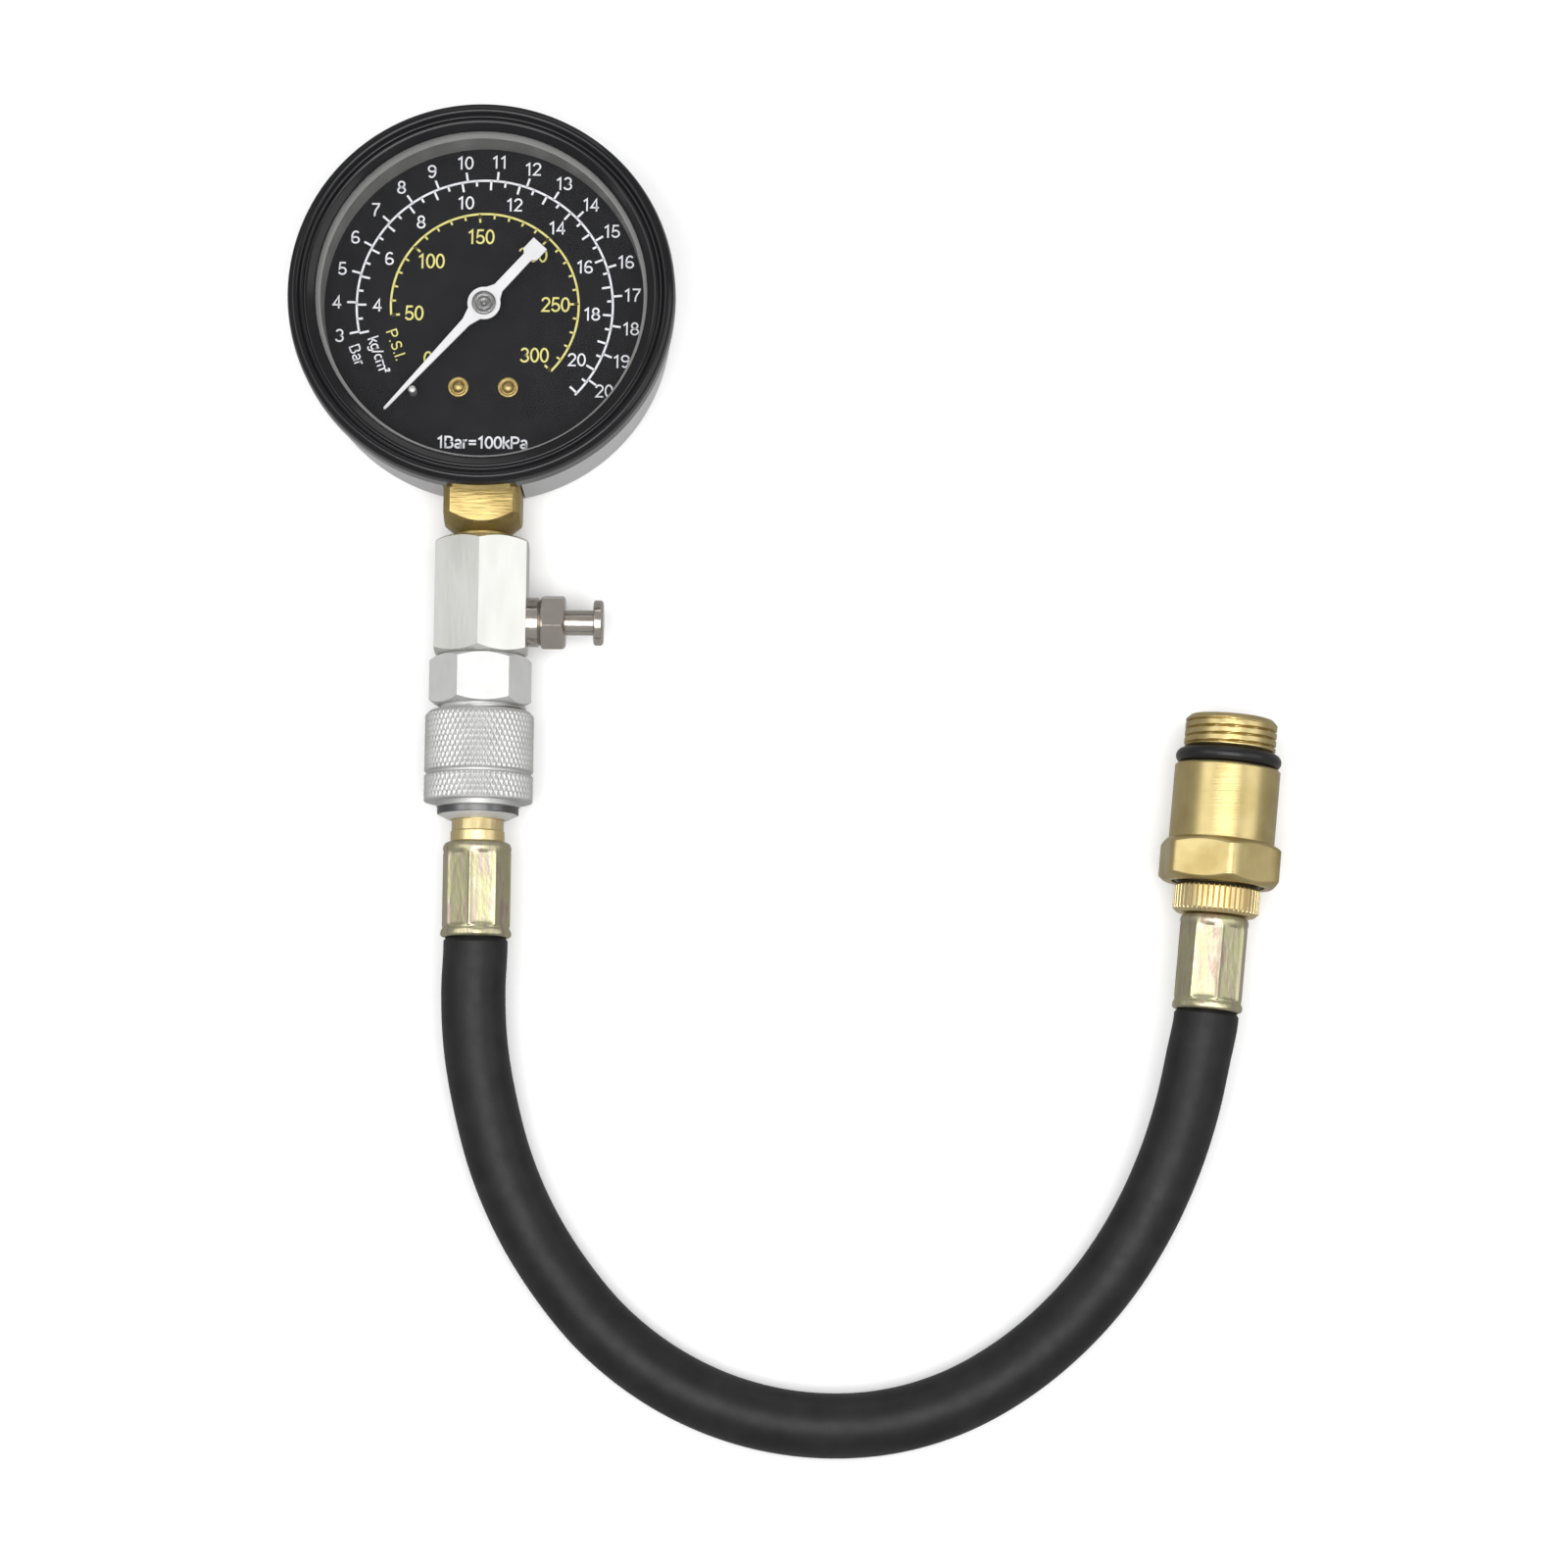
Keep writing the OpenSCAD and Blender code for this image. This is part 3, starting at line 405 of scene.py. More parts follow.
FERRULE_TOP = 105.8
upper_ferrule = ferrule("upper_crimped_ferrule", moved(COLUMN, FERRULE_TOP), np.radians(30.5))
lower_ferrule = ferrule("lower_crimped_ferrule", moved(ADAPTER, FERRULE_LEN, True), np.radians(57.5))
for piece, node in ((upper_ferrule, "upper_ferrule"), (lower_ferrule, "lower_ferrule")):
    dress(piece, "yellow_zinc")
    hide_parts(node)
    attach(piece, "hose_line")

# %% [markdown]
# ## The brass adapter
# One bar of brass: a hexagon for the spanner, a turned body, a neck for the sealing ring and a thread of 18 mm by
# 1.5. The hexagon keeps the smaller of the chamfered profile and its six flats, which draws the curved edges by
# itself. The thread is a saw of the height less the angle, so it climbs one pitch each turn.

# %% Adapter
HEX_FROM, BODY_FROM, SEAL_FROM, THREAD_FROM, NOSE_END = 24.8, 33.3, 48.2, 51.2, 57.9
HEX_TURN = np.radians(6)
THREAD_PITCH, THREAD_DEPTH = 1.5, 0.5
NECK_R, THREAD_R, BORE_END = 7.33, 9.0, 41.2


def adapter_cuts(a, r, z):
    """Six flats on the hexagon's length, and a rounded V groove that winds along the thread."""
    hexagon = flats(6, HEX_ACROSS, HEX_TURN, 0.9)(a, r, z)
    r = np.where((z < BODY_FROM + 0.05) & (r > 10.4), hexagon, r)
    wave = np.abs(((z - THREAD_FROM) / THREAD_PITCH - a / (2 * np.pi)) % 1.0 - 0.5) * 2
    groove = THREAD_DEPTH * np.clip(2.8 * wave - 1.8, 0, 1)
    zone = np.clip((z - THREAD_FROM - 0.1) / 0.8, 0, 1) * np.clip((NOSE_END - 0.9 - z) / 0.5, 0, 1) * (r > 7.5)
    return r - groove * zone


adapter_outline = [(9.1, HEX_FROM), (10.6, HEX_FROM), (12.7, HEX_FROM + 1.25), (12.7, BODY_FROM - 1.25),
                   (10.35, BODY_FROM), (10.35, SEAL_FROM - 0.45), (9.9, SEAL_FROM), (NECK_R, SEAL_FROM),
                   (NECK_R, THREAD_FROM), (8.4, THREAD_FROM), (THREAD_R, THREAD_FROM + 0.6),
                   (THREAD_R, NOSE_END - 0.9), (8.1, NOSE_END), (4.5, NOSE_END), (4.5, BORE_END), (7.05, BORE_END),
                   (7.05, HEX_FROM + 2.1), (9.1, HEX_FROM + 2.1)]
adapter_profile = filled(rounded(adapter_outline, 0.12, 2, True), 0.11, True)
adapter = lathe("threaded_adapter", adapter_profile, ADAPTER, 288, adapter_cuts, True)
dress(adapter, "pale_brass")
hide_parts("spark_plug_adapter")
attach(adapter, "hose_line")

# %% [markdown]
# ## The fluted hose end
# The brass end of the hose has a ring of straight flutes, so that it can be turned by hand into the adapter. A
# cosine of the angle, squared off a little, gives the flutes; the spigot and the barbs are hidden but complete.

# %% Hose end
RING_FROM, RING_R, FLUTES = 18.8, 8.45, 49


def fluted(a, r, z):
    """On the ring only, the radius drops in narrow troughs, one for each flute."""
    trough = np.clip(-0.5 - 1.5 * np.cos(FLUTES * a), 0, 1)
    zone = (r > 7.2) & (z < HEX_FROM - 0.02) & (z > RING_FROM)
    return np.where(zone, np.minimum(r, RING_R - 0.4 * trough), r)


end_outline = [(1.5, 2.4), (2.4, 2.4), (3.0, 6.0), (2.4, 6.2), (3.0, 9.8), (2.4, 10.0), (3.0, 13.7), (2.4, 13.9),
               (3.0, 17.4), (4.2, 17.4), (4.2, RING_FROM + 0.05), (7.6, RING_FROM + 0.05), (RING_R, RING_FROM + 0.85),
               (RING_R, HEX_FROM - 0.85), (7.6, HEX_FROM - 0.05), (7.0, HEX_FROM - 0.05), (7.0, 40.0), (2.6, 40.0),
               (2.6, 29.5), (1.5, 29.5)]
end_profile = filled(rounded(end_outline, 0.1, 2, True), 0.3, True)
hose_end = lathe("fluted_hose_end", end_profile, ADAPTER, FLUTES * 10, fluted, True)
dress(hose_end, "bright_brass")
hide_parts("hose_end")
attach(hose_end, "hose_line")

# %% [markdown]
# ## The knurled sleeve
# A knurling tool rolls two crossing sets of slanted grooves into the sleeve, which leaves rows of small diamonds.
# Bump would do from far away, but the diamonds show on the outline, so they are geometry: the deeper of the two
# grooves at each point. A plain groove splits the knurl into two bands.

# %% Sleeve
SLEEVE_TOP, SLEEVE_END, GROOVE_AT, SLEEVE_R = 80.0, 97.95, 92.4, 10.7
LIP_END, CHAMBER_END, LAND_END = 98.95, 88.3, 95.1
STARTS, CLIMB, KNURL_DEPTH = 60, 0.46, 0.3


def knurl(a, r, z):
    """Two saws of the angle plus and minus the height; each groove is a V, and the deeper one is kept."""
    turn = a * STARTS / (2 * np.pi)
    left = np.abs((turn + CLIMB * z) % 1.0 - 0.5) * 2
    right_hand = np.abs((turn - CLIMB * z) % 1.0 - 0.5) * 2
    groove = np.maximum(np.clip((left - 0.35) / 0.65, 0, 1), np.clip((right_hand - 0.35) / 0.65, 0, 1))
    upper = np.clip((z - SLEEVE_TOP - 0.5) / 0.3, 0, 1) * np.clip((GROOVE_AT - 0.5 - z) / 0.2, 0, 1)
    lower = np.clip((z - GROOVE_AT - 0.5) / 0.2, 0, 1) * np.clip((SLEEVE_END - 0.15 - z) / 0.2, 0, 1)
    return r - KNURL_DEPTH * groove * (upper + lower) * (r > 10.2)


LAND = 7.78
sleeve_outline = [(9.6, SLEEVE_TOP), (SLEEVE_R - 0.9, SLEEVE_TOP), (SLEEVE_R, SLEEVE_TOP + 0.9),
                  (SLEEVE_R, GROOVE_AT - 0.45), (SLEEVE_R - 0.45, GROOVE_AT - 0.25),
                  (SLEEVE_R - 0.45, GROOVE_AT + 0.25), (SLEEVE_R, GROOVE_AT + 0.45), (SLEEVE_R, SLEEVE_END - 0.2),
                  (SLEEVE_R - 0.2, SLEEVE_END), (8.25, SLEEVE_END), (8.25, LIP_END - 0.15), (8.1, LIP_END),
                  (LAND, LIP_END), (LAND, SLEEVE_END - 0.6), (8.5, SLEEVE_END - 1.2), (8.5, LAND_END + 0.7),
                  (LAND, LAND_END), (LAND, CHAMBER_END), (9.6, CHAMBER_END)]
sleeve_corners = rounded(sleeve_outline, 0.12, 2, True)
sleeve = lathe("knurled_sleeve", filled(sleeve_corners, 0.16, True), COLUMN, STARTS * 8, knurl, True)
dress(sleeve, "satin_steel")
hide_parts("coupler_sleeve")
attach(sleeve, "sleeve")

# %% [markdown]
# ## The bezel
# The bezel is pressed from sheet and painted black. Its rolled rim, a fine step and a sloping inner wall catch thin
# bright lines of light, so the profile is rounded with many steps.

# %% Bezel
bezel_outline = [(36.6, 23.5), (37.5, 23.5), (37.9, 24.0), (37.9, 28.6), (37.55, 30.3), (36.6, 31.0), (35.9, 30.9),
                 (35.35, 30.1), (34.9, 29.9), (34.45, 30.35), (34.0, 30.3), (32.65, 29.45), (32.4, 29.15),
                 (32.4, 28.85), (35.6, 28.85), (35.6, 27.1), (36.6, 27.1)]
bezel = lathe("rolled_bezel", filled(rounded(bezel_outline, 0.35, 5, True), 0.6, True), GAUGE, 288, None, True)
dress(bezel, "black_enamel")
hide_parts("bezel")
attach(bezel, "housing")

# %% [markdown]
# ## The printed dial
# Three scales share one dial. Every angle falls in proportion to the pressure, so the marks are computed as arrays:
# bar outside the white arc, kg/cm² inside it, and psi on the yellow arc. Marks and figures are thin solids that
# stand a few hundredths of a millimetre on the dial, as thick ink does.

# %% Dial marks
DIAL_Z, INK = 18.0, 0.04
INK_Z = DIAL_Z + 0.005
PSI_IN_BAR, BAR_IN_KILO = 14.504, 0.980665
BOX_FACES = np.array([[0, 1, 2, 3], [7, 6, 5, 4], [0, 4, 5, 1], [1, 5, 6, 2], [2, 6, 7, 3], [3, 7, 4, 0]])


def psi_angle(psi):
    """232.5 degrees at nought, falling by 0.923 degrees for each psi."""
    return np.radians(232.5 - 0.923 * np.asarray(psi, float))


def bar_angle(bar):
    """One bar is 14.504 psi."""
    return psi_angle(PSI_IN_BAR * np.asarray(bar, float))


def marks(angles, inner, outer, width):
    """For each angle a thin box from the inner to the outer radius, width wide across it."""
    c, s = np.cos(angles)[:, None], np.sin(angles)[:, None]
    along = np.array([inner, outer, outer, inner])[None, :]
    across = np.array([-1, -1, 1, 1])[None, :] * width / 2
    x, y = along * c - across * s, along * s + across * c
    low = np.stack([x, y, np.full_like(x, INK_Z)], -1)
    high = low + [0, 0, INK]
    points = np.concatenate([low, high], 1)
    faces = BOX_FACES[None] + 8 * np.arange(len(angles))[:, None, None]
    return points.reshape(-1, 3), faces.reshape(-1, 4)


def arc(radius, width, start, end, steps=160):
    """A rectangle of ink carried along a circle from one angle to another, with its two ends closed."""
    a = np.linspace(start, end, steps)[:, None]
    r = radius + np.array([-1, 1, 1, -1])[None, :] * width / 2
    z = INK_Z + INK * np.array([0, 0, 1, 1])[None, :]
    points = np.stack([r * np.cos(a), r * np.sin(a), np.broadcast_to(z, (steps, 4))], -1).reshape(-1, 3)
    last = 4 * (steps - 1)
    ends = np.array([[3, 2, 1, 0], [last, last + 1, last + 2, last + 3]])
    return points, np.vstack([grid_faces(steps, 4, False), ends])


def bend(x, y, rx, ry, start, end, steps=18):
    """Points on an ellipse from one angle to another, in degrees."""
    t = np.radians(np.linspace(start, end, steps))
    return np.stack([x + rx * np.cos(t), y + ry * np.sin(t)], -1)


def pen(*pieces):
    """Corners and bends in one stroke, without points that repeat the one before."""
    points = np.vstack([np.asarray(p, float).reshape(-1, 2) for p in pieces])
    step = np.linalg.norm(np.diff(points, axis=0), axis=1)
    return points[np.concatenate([[True], step > 1e-6])]


SIX = [bend(0.29, 0.29, 0.215, 0.225, 0, 360, 32), pen(bend(0.31, 0.5, 0.235, 0.435, 48, 180, 20), (0.075, 0.32))]
GLYPHS = {
    "0": (0.58, [bend(0.29, 0.5, 0.215, 0.435, 0, 360, 36)]),
    "1": (0.50, [pen((0.10, 0.74), (0.31, 0.93), (0.31, 0.0))]),
    "2": (0.58, [pen(bend(0.28, 0.70, 0.21, 0.235, 172, -32), (0.075, 0.065), (0.52, 0.065))]),
    "3": (0.58, [bend(0.27, 0.715, 0.195, 0.22, 160, -90), bend(0.265, 0.285, 0.225, 0.22, 90, -165)]),
    "4": (0.58, [pen((0.40, 0.0), (0.40, 0.93), (0.06, 0.28), (0.55, 0.28))]),
    "5": (0.58, [pen((0.49, 0.935), (0.155, 0.935), (0.095, 0.46), bend(0.28, 0.315, 0.225, 0.25, 128, -160))]),
    "6": (0.58, SIX),
    "7": (0.58, [pen((0.06, 0.935), (0.51, 0.935), bend(0.66, 0.0, 0.43, 0.80, 120, 180, 10))]),
    "8": (0.58, [bend(0.29, 0.725, 0.18, 0.21, 0, 360, 30), bend(0.29, 0.28, 0.22, 0.215, 0, 360, 30)]),
    "9": (0.58, [np.array([0.58, 1.0]) - stroke for stroke in SIX]),
    ".": (0.28, [pen((0.14, 0.0), (0.14, 0.13))]),
    "=": (0.60, [pen((0.06, 0.62), (0.54, 0.62)), pen((0.06, 0.36), (0.54, 0.36))]),
    "/": (0.32, [pen((0.02, 0.0), (0.30, 1.0))]),
    "B": (0.66, [pen((0.10, 0.0), (0.10, 0.935), (0.34, 0.935), bend(0.34, 0.735, 0.19, 0.20, 90, -90),
                     (0.10, 0.535)),
                 pen((0.10, 0.535), (0.36, 0.535), bend(0.36, 0.30, 0.21, 0.235, 90, -90), (0.10, 0.065))]),
    "P": (0.64, [pen((0.10, 0.0), (0.10, 0.935), (0.34, 0.935), bend(0.34, 0.70, 0.22, 0.235, 90, -90),
                     (0.10, 0.465))]),
    "S": (0.64, [pen(bend(0.32, 0.72, 0.215, 0.215, 20, 270), bend(0.32, 0.285, 0.225, 0.22, 90, -160))]),
    "I": (0.26, [pen((0.13, 0.0), (0.13, 1.0))]),
    "a": (0.56, [pen(bend(0.27, 0.50, 0.17, 0.19, 160, 0), (0.44, 0.0)), bend(0.26, 0.21, 0.18, 0.155, 10, 350)]),
    "r": (0.36, [pen((0.09, 0.0), (0.09, 0.72)), bend(0.27, 0.47, 0.18, 0.20, 180, 80)]),
    "k": (0.52, [pen((0.09, 0.0), (0.09, 1.0)), pen((0.46, 0.72), (0.09, 0.30)), pen((0.24, 0.42), (0.49, 0.0))]),
    "g": (0.56, [bend(0.26, 0.36, 0.185, 0.295, 0, 360, 30), pen((0.445, 0.72), (0.445, -0.05),
                                                                bend(0.26, -0.05, 0.185, 0.18, 0, -150))]),
    "c": (0.50, [bend(0.28, 0.36, 0.20, 0.295, 50, 310)]),
    "m": (0.84, [pen((0.09, 0.0), (0.09, 0.72)), pen(bend(0.26, 0.47, 0.17, 0.185, 180, 0), (0.43, 0.0)),
                 pen((0.43, 0.40), bend(0.60, 0.47, 0.17, 0.185, 180, 0), (0.77, 0.0))]),
    "²": (0.34, [pen((0.05, 0.86), bend(0.15, 0.88, 0.10, 0.09, 172, -32, 8), (0.04, 0.60), (0.27, 0.60))]),
}


def stroke(points, width):
    """A ribbon: each point moves half the width to both sides, along the mitre of its two neighbours' normals."""
    closed = np.allclose(points[0], points[-1])
    p = points[:-1] if closed else points
    ahead, behind = np.roll(p, -1, 0) - p, p - np.roll(p, 1, 0)
    if not closed:
        ahead[-1], behind[0] = behind[-1], ahead[0]
    ahead /= np.linalg.norm(ahead, axis=1, keepdims=True)
    behind /= np.linalg.norm(behind, axis=1, keepdims=True)
    normal = np.stack([-(ahead + behind)[:, 1], (ahead + behind)[:, 0]], -1)
    normal /= np.linalg.norm(normal, axis=1, keepdims=True)
    lean = np.clip(normal[:, 0] * -ahead[:, 1] + normal[:, 1] * ahead[:, 0], 0.5, 1)
    side = normal * (width / 2 / lean)[:, None]
    section = np.stack([p - side, p + side, p + side, p - side], 1)
    rows = len(p)
    z = np.broadcast_to(np.array([0.0, 0.0, INK, INK])[None, :, None], (rows, 4, 1))
    faces = grid_faces(rows, 4, closed)
    if not closed:
        last = 4 * (rows - 1)
        faces = np.vstack([faces, [[3, 2, 1, 0], [last, last + 1, last + 2, last + 3]]])
    return np.concatenate([section, z], -1).reshape(-1, 3), faces


def words(text, x, y, height, turn=0.0, stretch=1.0, weight=0.125):
    """Strokes of each sign side by side, centred, scaled to a height, turned and set down at x, y."""
    shapes, at = [], 0.0
    for sign in text:
        wide, strokes = GLYPHS[sign]
        shapes += [(one * [stretch, 1] + [at, 0]) * height for one in strokes]
        at += wide * stretch
    middle = np.array([at * height / 2, height / 2])
    c, s = np.cos(turn), np.sin(turn)
    ribbons = [stroke(one - middle, weight * height) for one in shapes]
    return [(np.stack([x + p[:, 0] * c - p[:, 1] * s, y + p[:, 0] * s + p[:, 1] * c, p[:, 2] + INK_Z], -1), f)
            for p, f in ribbons]


def printed(name, parts, finish_name):
    """Joins arrays of points and faces into one piece of ink."""
    starts = np.cumsum([0] + [len(p) for p, f in parts[:-1]])
    points = np.vstack([p for p, f in parts])
    faces = np.vstack([f + start for (p, f), start in zip(parts, starts)])
    piece = dress(add_piece(name, points, faces), finish_name)
    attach(piece, "housing")
    print(name, len(faces), "faces")
    return piece


def figures(values, angles, radius, height, stretch=1.0):
    """Upright figures round a circle."""
    return [ribbon for v, a in zip(values, angles)
            for ribbon in words(str(v), radius * np.cos(a), radius * np.sin(a), height, 0.0, stretch)]


BAR_R, PSI_R, LINE = 25.3, 18.55, 0.42
bars = np.arange(3, 21)
kilos = np.arange(3.0, 21.01, 0.5)
long_kilos, short_kilos = kilos[kilos % 1 == 0], kilos[kilos % 1 != 0]
kilo_names = np.arange(4, 21, 2)
white = [arc(BAR_R, LINE, bar_angle(3), psi_angle(300)),
         marks(bar_angle(bars), BAR_R, BAR_R + 1.9, LINE),
         marks(bar_angle(long_kilos * BAR_IN_KILO), BAR_R - 1.9, BAR_R, LINE),
         marks(bar_angle(short_kilos * BAR_IN_KILO), BAR_R - 1.1, BAR_R, LINE)]
white += figures(bars, bar_angle(bars), 29.2, 2.65, 1.2)
white += figures(kilo_names, bar_angle(kilo_names * BAR_IN_KILO), 21.2, 2.65, 1.2)
UNIT_TURN = np.radians(-70)
white += words("Bar", -25.0, -10.1, 2.2, UNIT_TURN, 1.25)
white += words("kg/cm²", -20.7, -10.1, 2.2, UNIT_TURN, 1.15)
white += words("1Bar=100kPa", 0.0, -27.4, 2.45, 0.0, 1.22, 0.16)
psi_long, psi_short = np.arange(50, 301, 50), np.arange(50, 301, 10)
psi_names = np.arange(0, 301, 50)
yellow = [arc(PSI_R, LINE, psi_angle(50), psi_angle(300)),
          marks(psi_angle(psi_long), PSI_R - 1.7, PSI_R, LINE),
          marks(psi_angle(psi_short), PSI_R - 0.95, PSI_R, LINE * 0.9)]
yellow += figures(psi_names[1:], psi_angle(psi_names[1:]), 14.0, 3.0, 1.1)
yellow += words("0", -11.0, -10.7, 3.0, 0.0, 1.1)
yellow += words("P.S.I.", -17.3, -8.0, 2.2, UNIT_TURN, 1.25)
printed("white_ink", white, "print_white")
printed("yellow_ink", yellow, "print_yellow")

# %% [markdown]
# ## The small turned pieces
# The hub that holds the pointer, the stop pin and the two dial screws are turned too. Their solids are right, but
# so small that a finer profile shows: a ring in the hub's face and a dome inside each screw's pale rim.

# %% Hub, stop pin and dial screws
hub_outline = [(0, 18.8), (1.9, 18.8), (1.9, 20.18), (1.48, 20.18), (1.48, 20.82), (2.35, 20.82), (2.35, 21.2),
               (2.1, 21.35), (1.55, 21.35), (1.45, 21.25), (1.3, 21.25), (1.2, 21.35), (0.62, 21.35), (0.55, 21.22),
               (0.36, 21.22), (0.3, 21.33), (0, 21.35)]
hub = lathe("pointer_hub", rounded(hub_outline, 0.05, 2), GAUGE, 96)
dress(hub, "hub_metal")
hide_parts("pointer_bush")
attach(hub, "pointer_shaft")
STOP_ANGLE = np.radians(231.9)
pin_outline = [(0, 16.8), (0.4, 16.8), (0.4, 18.02), (0.8, 18.02), (0.8, 21.2), (0.6, 21.5), (0, 21.6)]
pin_axis = (22.3 * np.array([np.cos(STOP_ANGLE), np.sin(STOP_ANGLE), 0]), np.eye(3))
pin = lathe("turned_stop_pin", rounded(pin_outline, 0.3, 6), pin_axis, 48)
dress(pin, "satin_steel")
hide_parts("stop_pin")
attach(pin, "housing")
screw_outline = [(0, 16.1), (1.0, 16.1), (1.0, 18.02), (2.05, 18.02), (2.05, 18.5), (1.7, 18.65), (1.35, 18.45)]
dome_at = np.radians(np.linspace(33, 90, 12))
dome = np.stack([1.5 * np.cos(dome_at), 17.65 + 1.5 * np.sin(dome_at)], -1)
screw_profile = np.vstack([rounded(screw_outline, 0.1, 3), dome])
for side, x in (("left", -4.9), ("right", 4.9)):
    screw = lathe(side + "_dial_screw", screw_profile, (np.array([x, -16.4, 0]), np.eye(3)), 72)
    dress(screw, "gold_brass")
    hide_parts("dial_screws")
    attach(screw, "housing")

# %% [markdown]
# ## The other pieces
# Planed and turned pieces whose solids are already right are copied, merged and given a fine bevel, so that their
# edges catch the light. What stays hidden keeps its solid and only gets its finish.

# %% Polished copies
def polished(node, body, finish_name, bevel=0.12, sharp=30.0):
    """The solid's triangles are merged, flat neighbours are joined, and edges over the sharp angle get a bevel."""
    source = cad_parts[node]
    mesh = source.data.copy()
    mesh.name = node + "_polished"
    work = bmesh.new()
    work.from_mesh(mesh)
    bmesh.ops.remove_doubles(work, verts=work.verts, dist=2e-6)
    bmesh.ops.dissolve_limit(work, angle_limit=np.radians(0.4), verts=work.verts, edges=work.edges)
    bmesh.ops.recalc_face_normals(work, faces=work.faces)
    work.to_mesh(mesh)
    work.free()
    mesh.polygons.foreach_set("use_smooth", np.ones(len(mesh.polygons), bool))
    mesh.set_sharp_from_angle(angle=np.radians(sharp))
    piece = bpy.data.objects.new(node + "_polished", mesh)
    bpy.context.scene.collection.objects.link(piece)
    if bevel:
        edge = piece.modifiers.new("edge", "BEVEL")
        edge.width, edge.segments, edge.limit_method = bevel * MM, 2, "ANGLE"
        edge.angle_limit, edge.harden_normals = np.radians(sharp), True
    dress(piece, finish_name)
    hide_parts(node)
    if body:
        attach(piece, body)
    return piece


SHOWN = [
    ("case", "housing", "grey_enamel", 0.0), ("spacer_ring", "housing", "pale_enamel", 0.0),
    ("pointer", "pointer_shaft", "white_enamel", 0.06),
    ("stem", "housing", "gold_brass", 0.06), ("case_screws", "housing", "steel", 0.05),
    ("bleed_block", "housing", "aluminium", 0.15), ("bleed_body", "housing", "nickel", 0.22),
    ("bleed_button", "bleed_plunger", "nickel", 0.08), ("coupler_body", "housing", "pale_steel", 0.15),
    ("snap_ring", "housing", "dark_steel", 0.08), ("coupler_plug", "hose_line", "bright_brass", 0.05),
    ("adapter_seal", "hose_line", "seal_rubber", 0.0)]
shown = {node: polished(node, body, name, bevel) for node, body, name, bevel in SHOWN}
HIDDEN = {
    "lens": "clear_lens", "lens_gasket": "seal_rubber", "dial": "dial_black", "pinion": "gold_brass",
    "sector_gear": "gold_brass", "sector_arbor": "steel", "front_plate": "gold_brass", "back_plate": "gold_brass",
    "plate_pillars": "gold_brass", "hairspring": "steel", "link": "steel", "pressure_tube": "gold_brass",
    "tube_tip": "gold_brass", "bleed_seal": "seal_rubber", "locking_balls": "steel", "coupler_seal": "seal_rubber",
    "hose_end_seal": "seal_rubber", "check_valve_body": "pale_brass", "check_valve_pin": "steel"}
for node, name in HIDDEN.items():
    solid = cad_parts[node]
    solid.data.materials.clear()
    solid.data.materials.append(MATERIALS[name])
print("polished", len(shown), "kept", len(HIDDEN))

# %% [markdown]
# ## The springs
# Three coil springs push the bleed button, the sleeve and the valve pin back. Each is a steel copy of its solid,
# without a bevel, with its place baked into its points.

# %% Springs
def spring(node):
    """A steel copy of the solid, without a bevel, with its place baked into its points."""
    piece = polished(node, None, "steel", 0.0)
    points = np.empty(3 * len(piece.data.vertices))
    piece.data.vertices.foreach_get("co", points)
    points = points.reshape(-1, 3)
    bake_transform(piece)
    return piece


spring("bleed_spring")
spring("sleeve_spring")
valve_spring = spring("check_valve_spring")
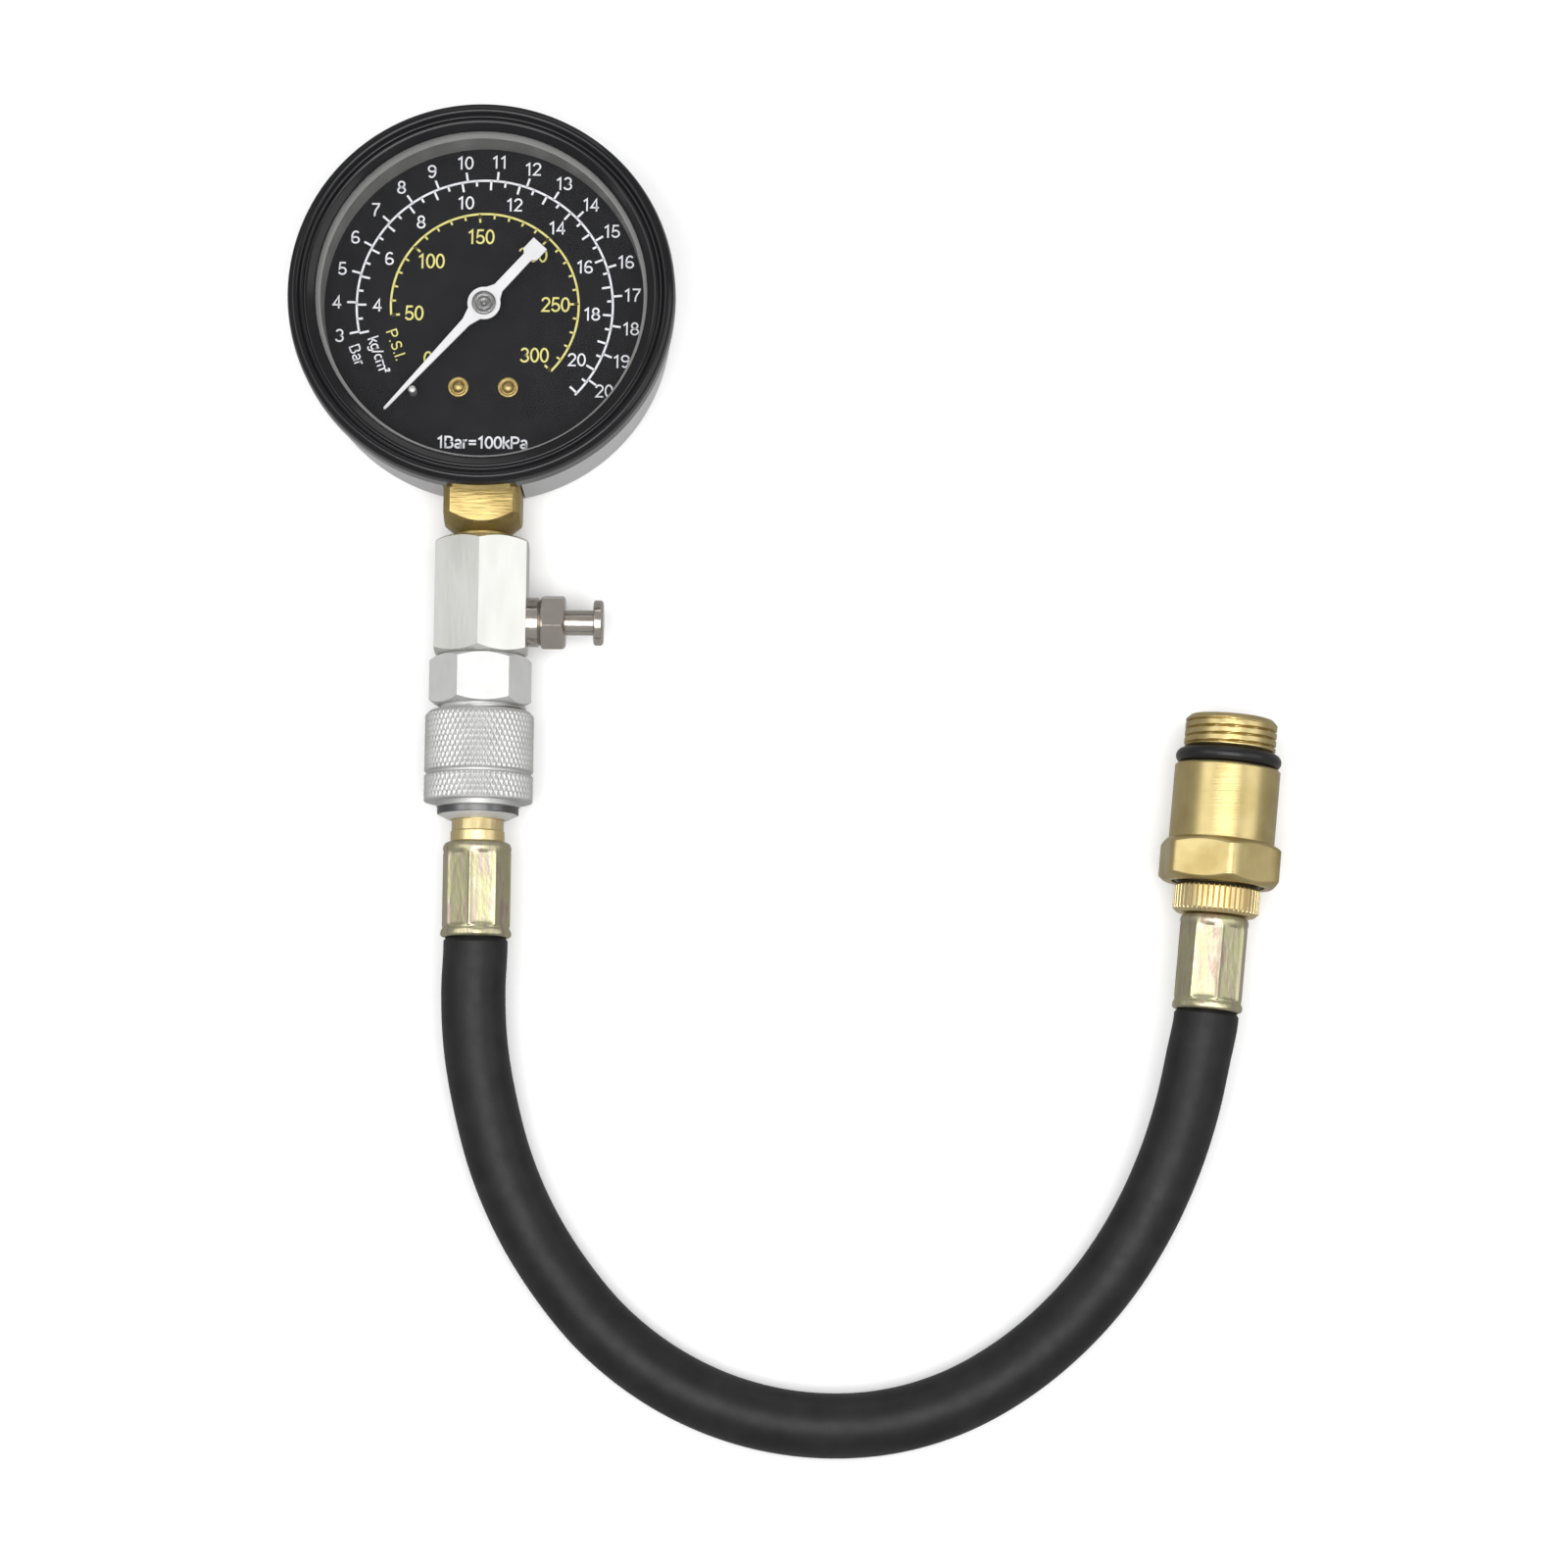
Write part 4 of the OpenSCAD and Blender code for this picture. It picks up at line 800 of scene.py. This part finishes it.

# %% [markdown]

# %% [markdown]
# ## Table and light
# The photograph is a catalogue picture: a white table, a wide soft light overhead and weaker ones at the sides. The
# lights stand away from the line that the flat lens would mirror into the camera, so the dial stays dark. The
# metal's dark sides show that it mirrors a grey room and not the white page round it, so the table is left out of
# mirrors, and the grey world shows there instead.

# %% Table and light
def table(name, size):
    """A flat square at height nought, which no mirror shows."""
    half = size / 2
    corners = np.array([[-half, -half, 0], [half, -half, 0], [half, half, 0], [-half, half, 0]])
    mesh = bpy.data.meshes.new(name)
    mesh.from_pydata((corners * MM).tolist(), [], [[0, 1, 2, 3]])
    piece = bpy.data.objects.new(name, mesh)
    bpy.context.scene.collection.objects.link(piece)
    piece.data.materials.append(finish("white_table", (0.95, 0.95, 0.95), 0.0, 0.7))
    piece.visible_glossy = False
    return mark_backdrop(piece)


def soft_light(name, place, target, size, watts):
    """A square lamp that faces a target: its own z axis points away from it."""
    lamp = bpy.data.lights.new(name, "AREA")
    lamp.shape, lamp.size, lamp.size_y, lamp.energy = "RECTANGLE", size[0] * MM, size[1] * MM, watts
    piece = bpy.data.objects.new(name, lamp)
    bpy.context.scene.collection.objects.link(piece)
    back = np.asarray(place, float) - target
    back /= np.linalg.norm(back)
    side = np.cross([0.0, 1.0, 0.0], back)
    side /= np.linalg.norm(side)
    turn = np.eye(4)
    turn[:3, 0], turn[:3, 1], turn[:3, 2], turn[:3, 3] = side, np.cross(back, side), back, np.asarray(place) * MM
    piece.matrix_world = Matrix(turn.tolist())
    return piece


table("table", 4000)
MIDDLE = np.array([60.0, -90.0, 0.0])
soft_light("overhead", (75, -290, 1000), MIDDLE, (900, 640), 9.5)
soft_light("right_side", (800, -120, 520), MIDDLE, (500, 700), 1.5)
soft_light("left_side", (-620, 0, 700), MIDDLE, (450, 700), 1.9)
soft_light("far_side", (150, 900, 420), MIDDLE, (800, 400), 1.2)
world = bpy.data.worlds.new("studio")
bpy.context.scene.world = world
world.use_nodes = True
world.node_tree.nodes["Background"].inputs["Color"].default_value = (0.62, 0.62, 0.62, 1)
world.node_tree.nodes["Background"].inputs["Strength"].default_value = 0.75
bpy.context.scene.view_settings.view_transform = "Standard"
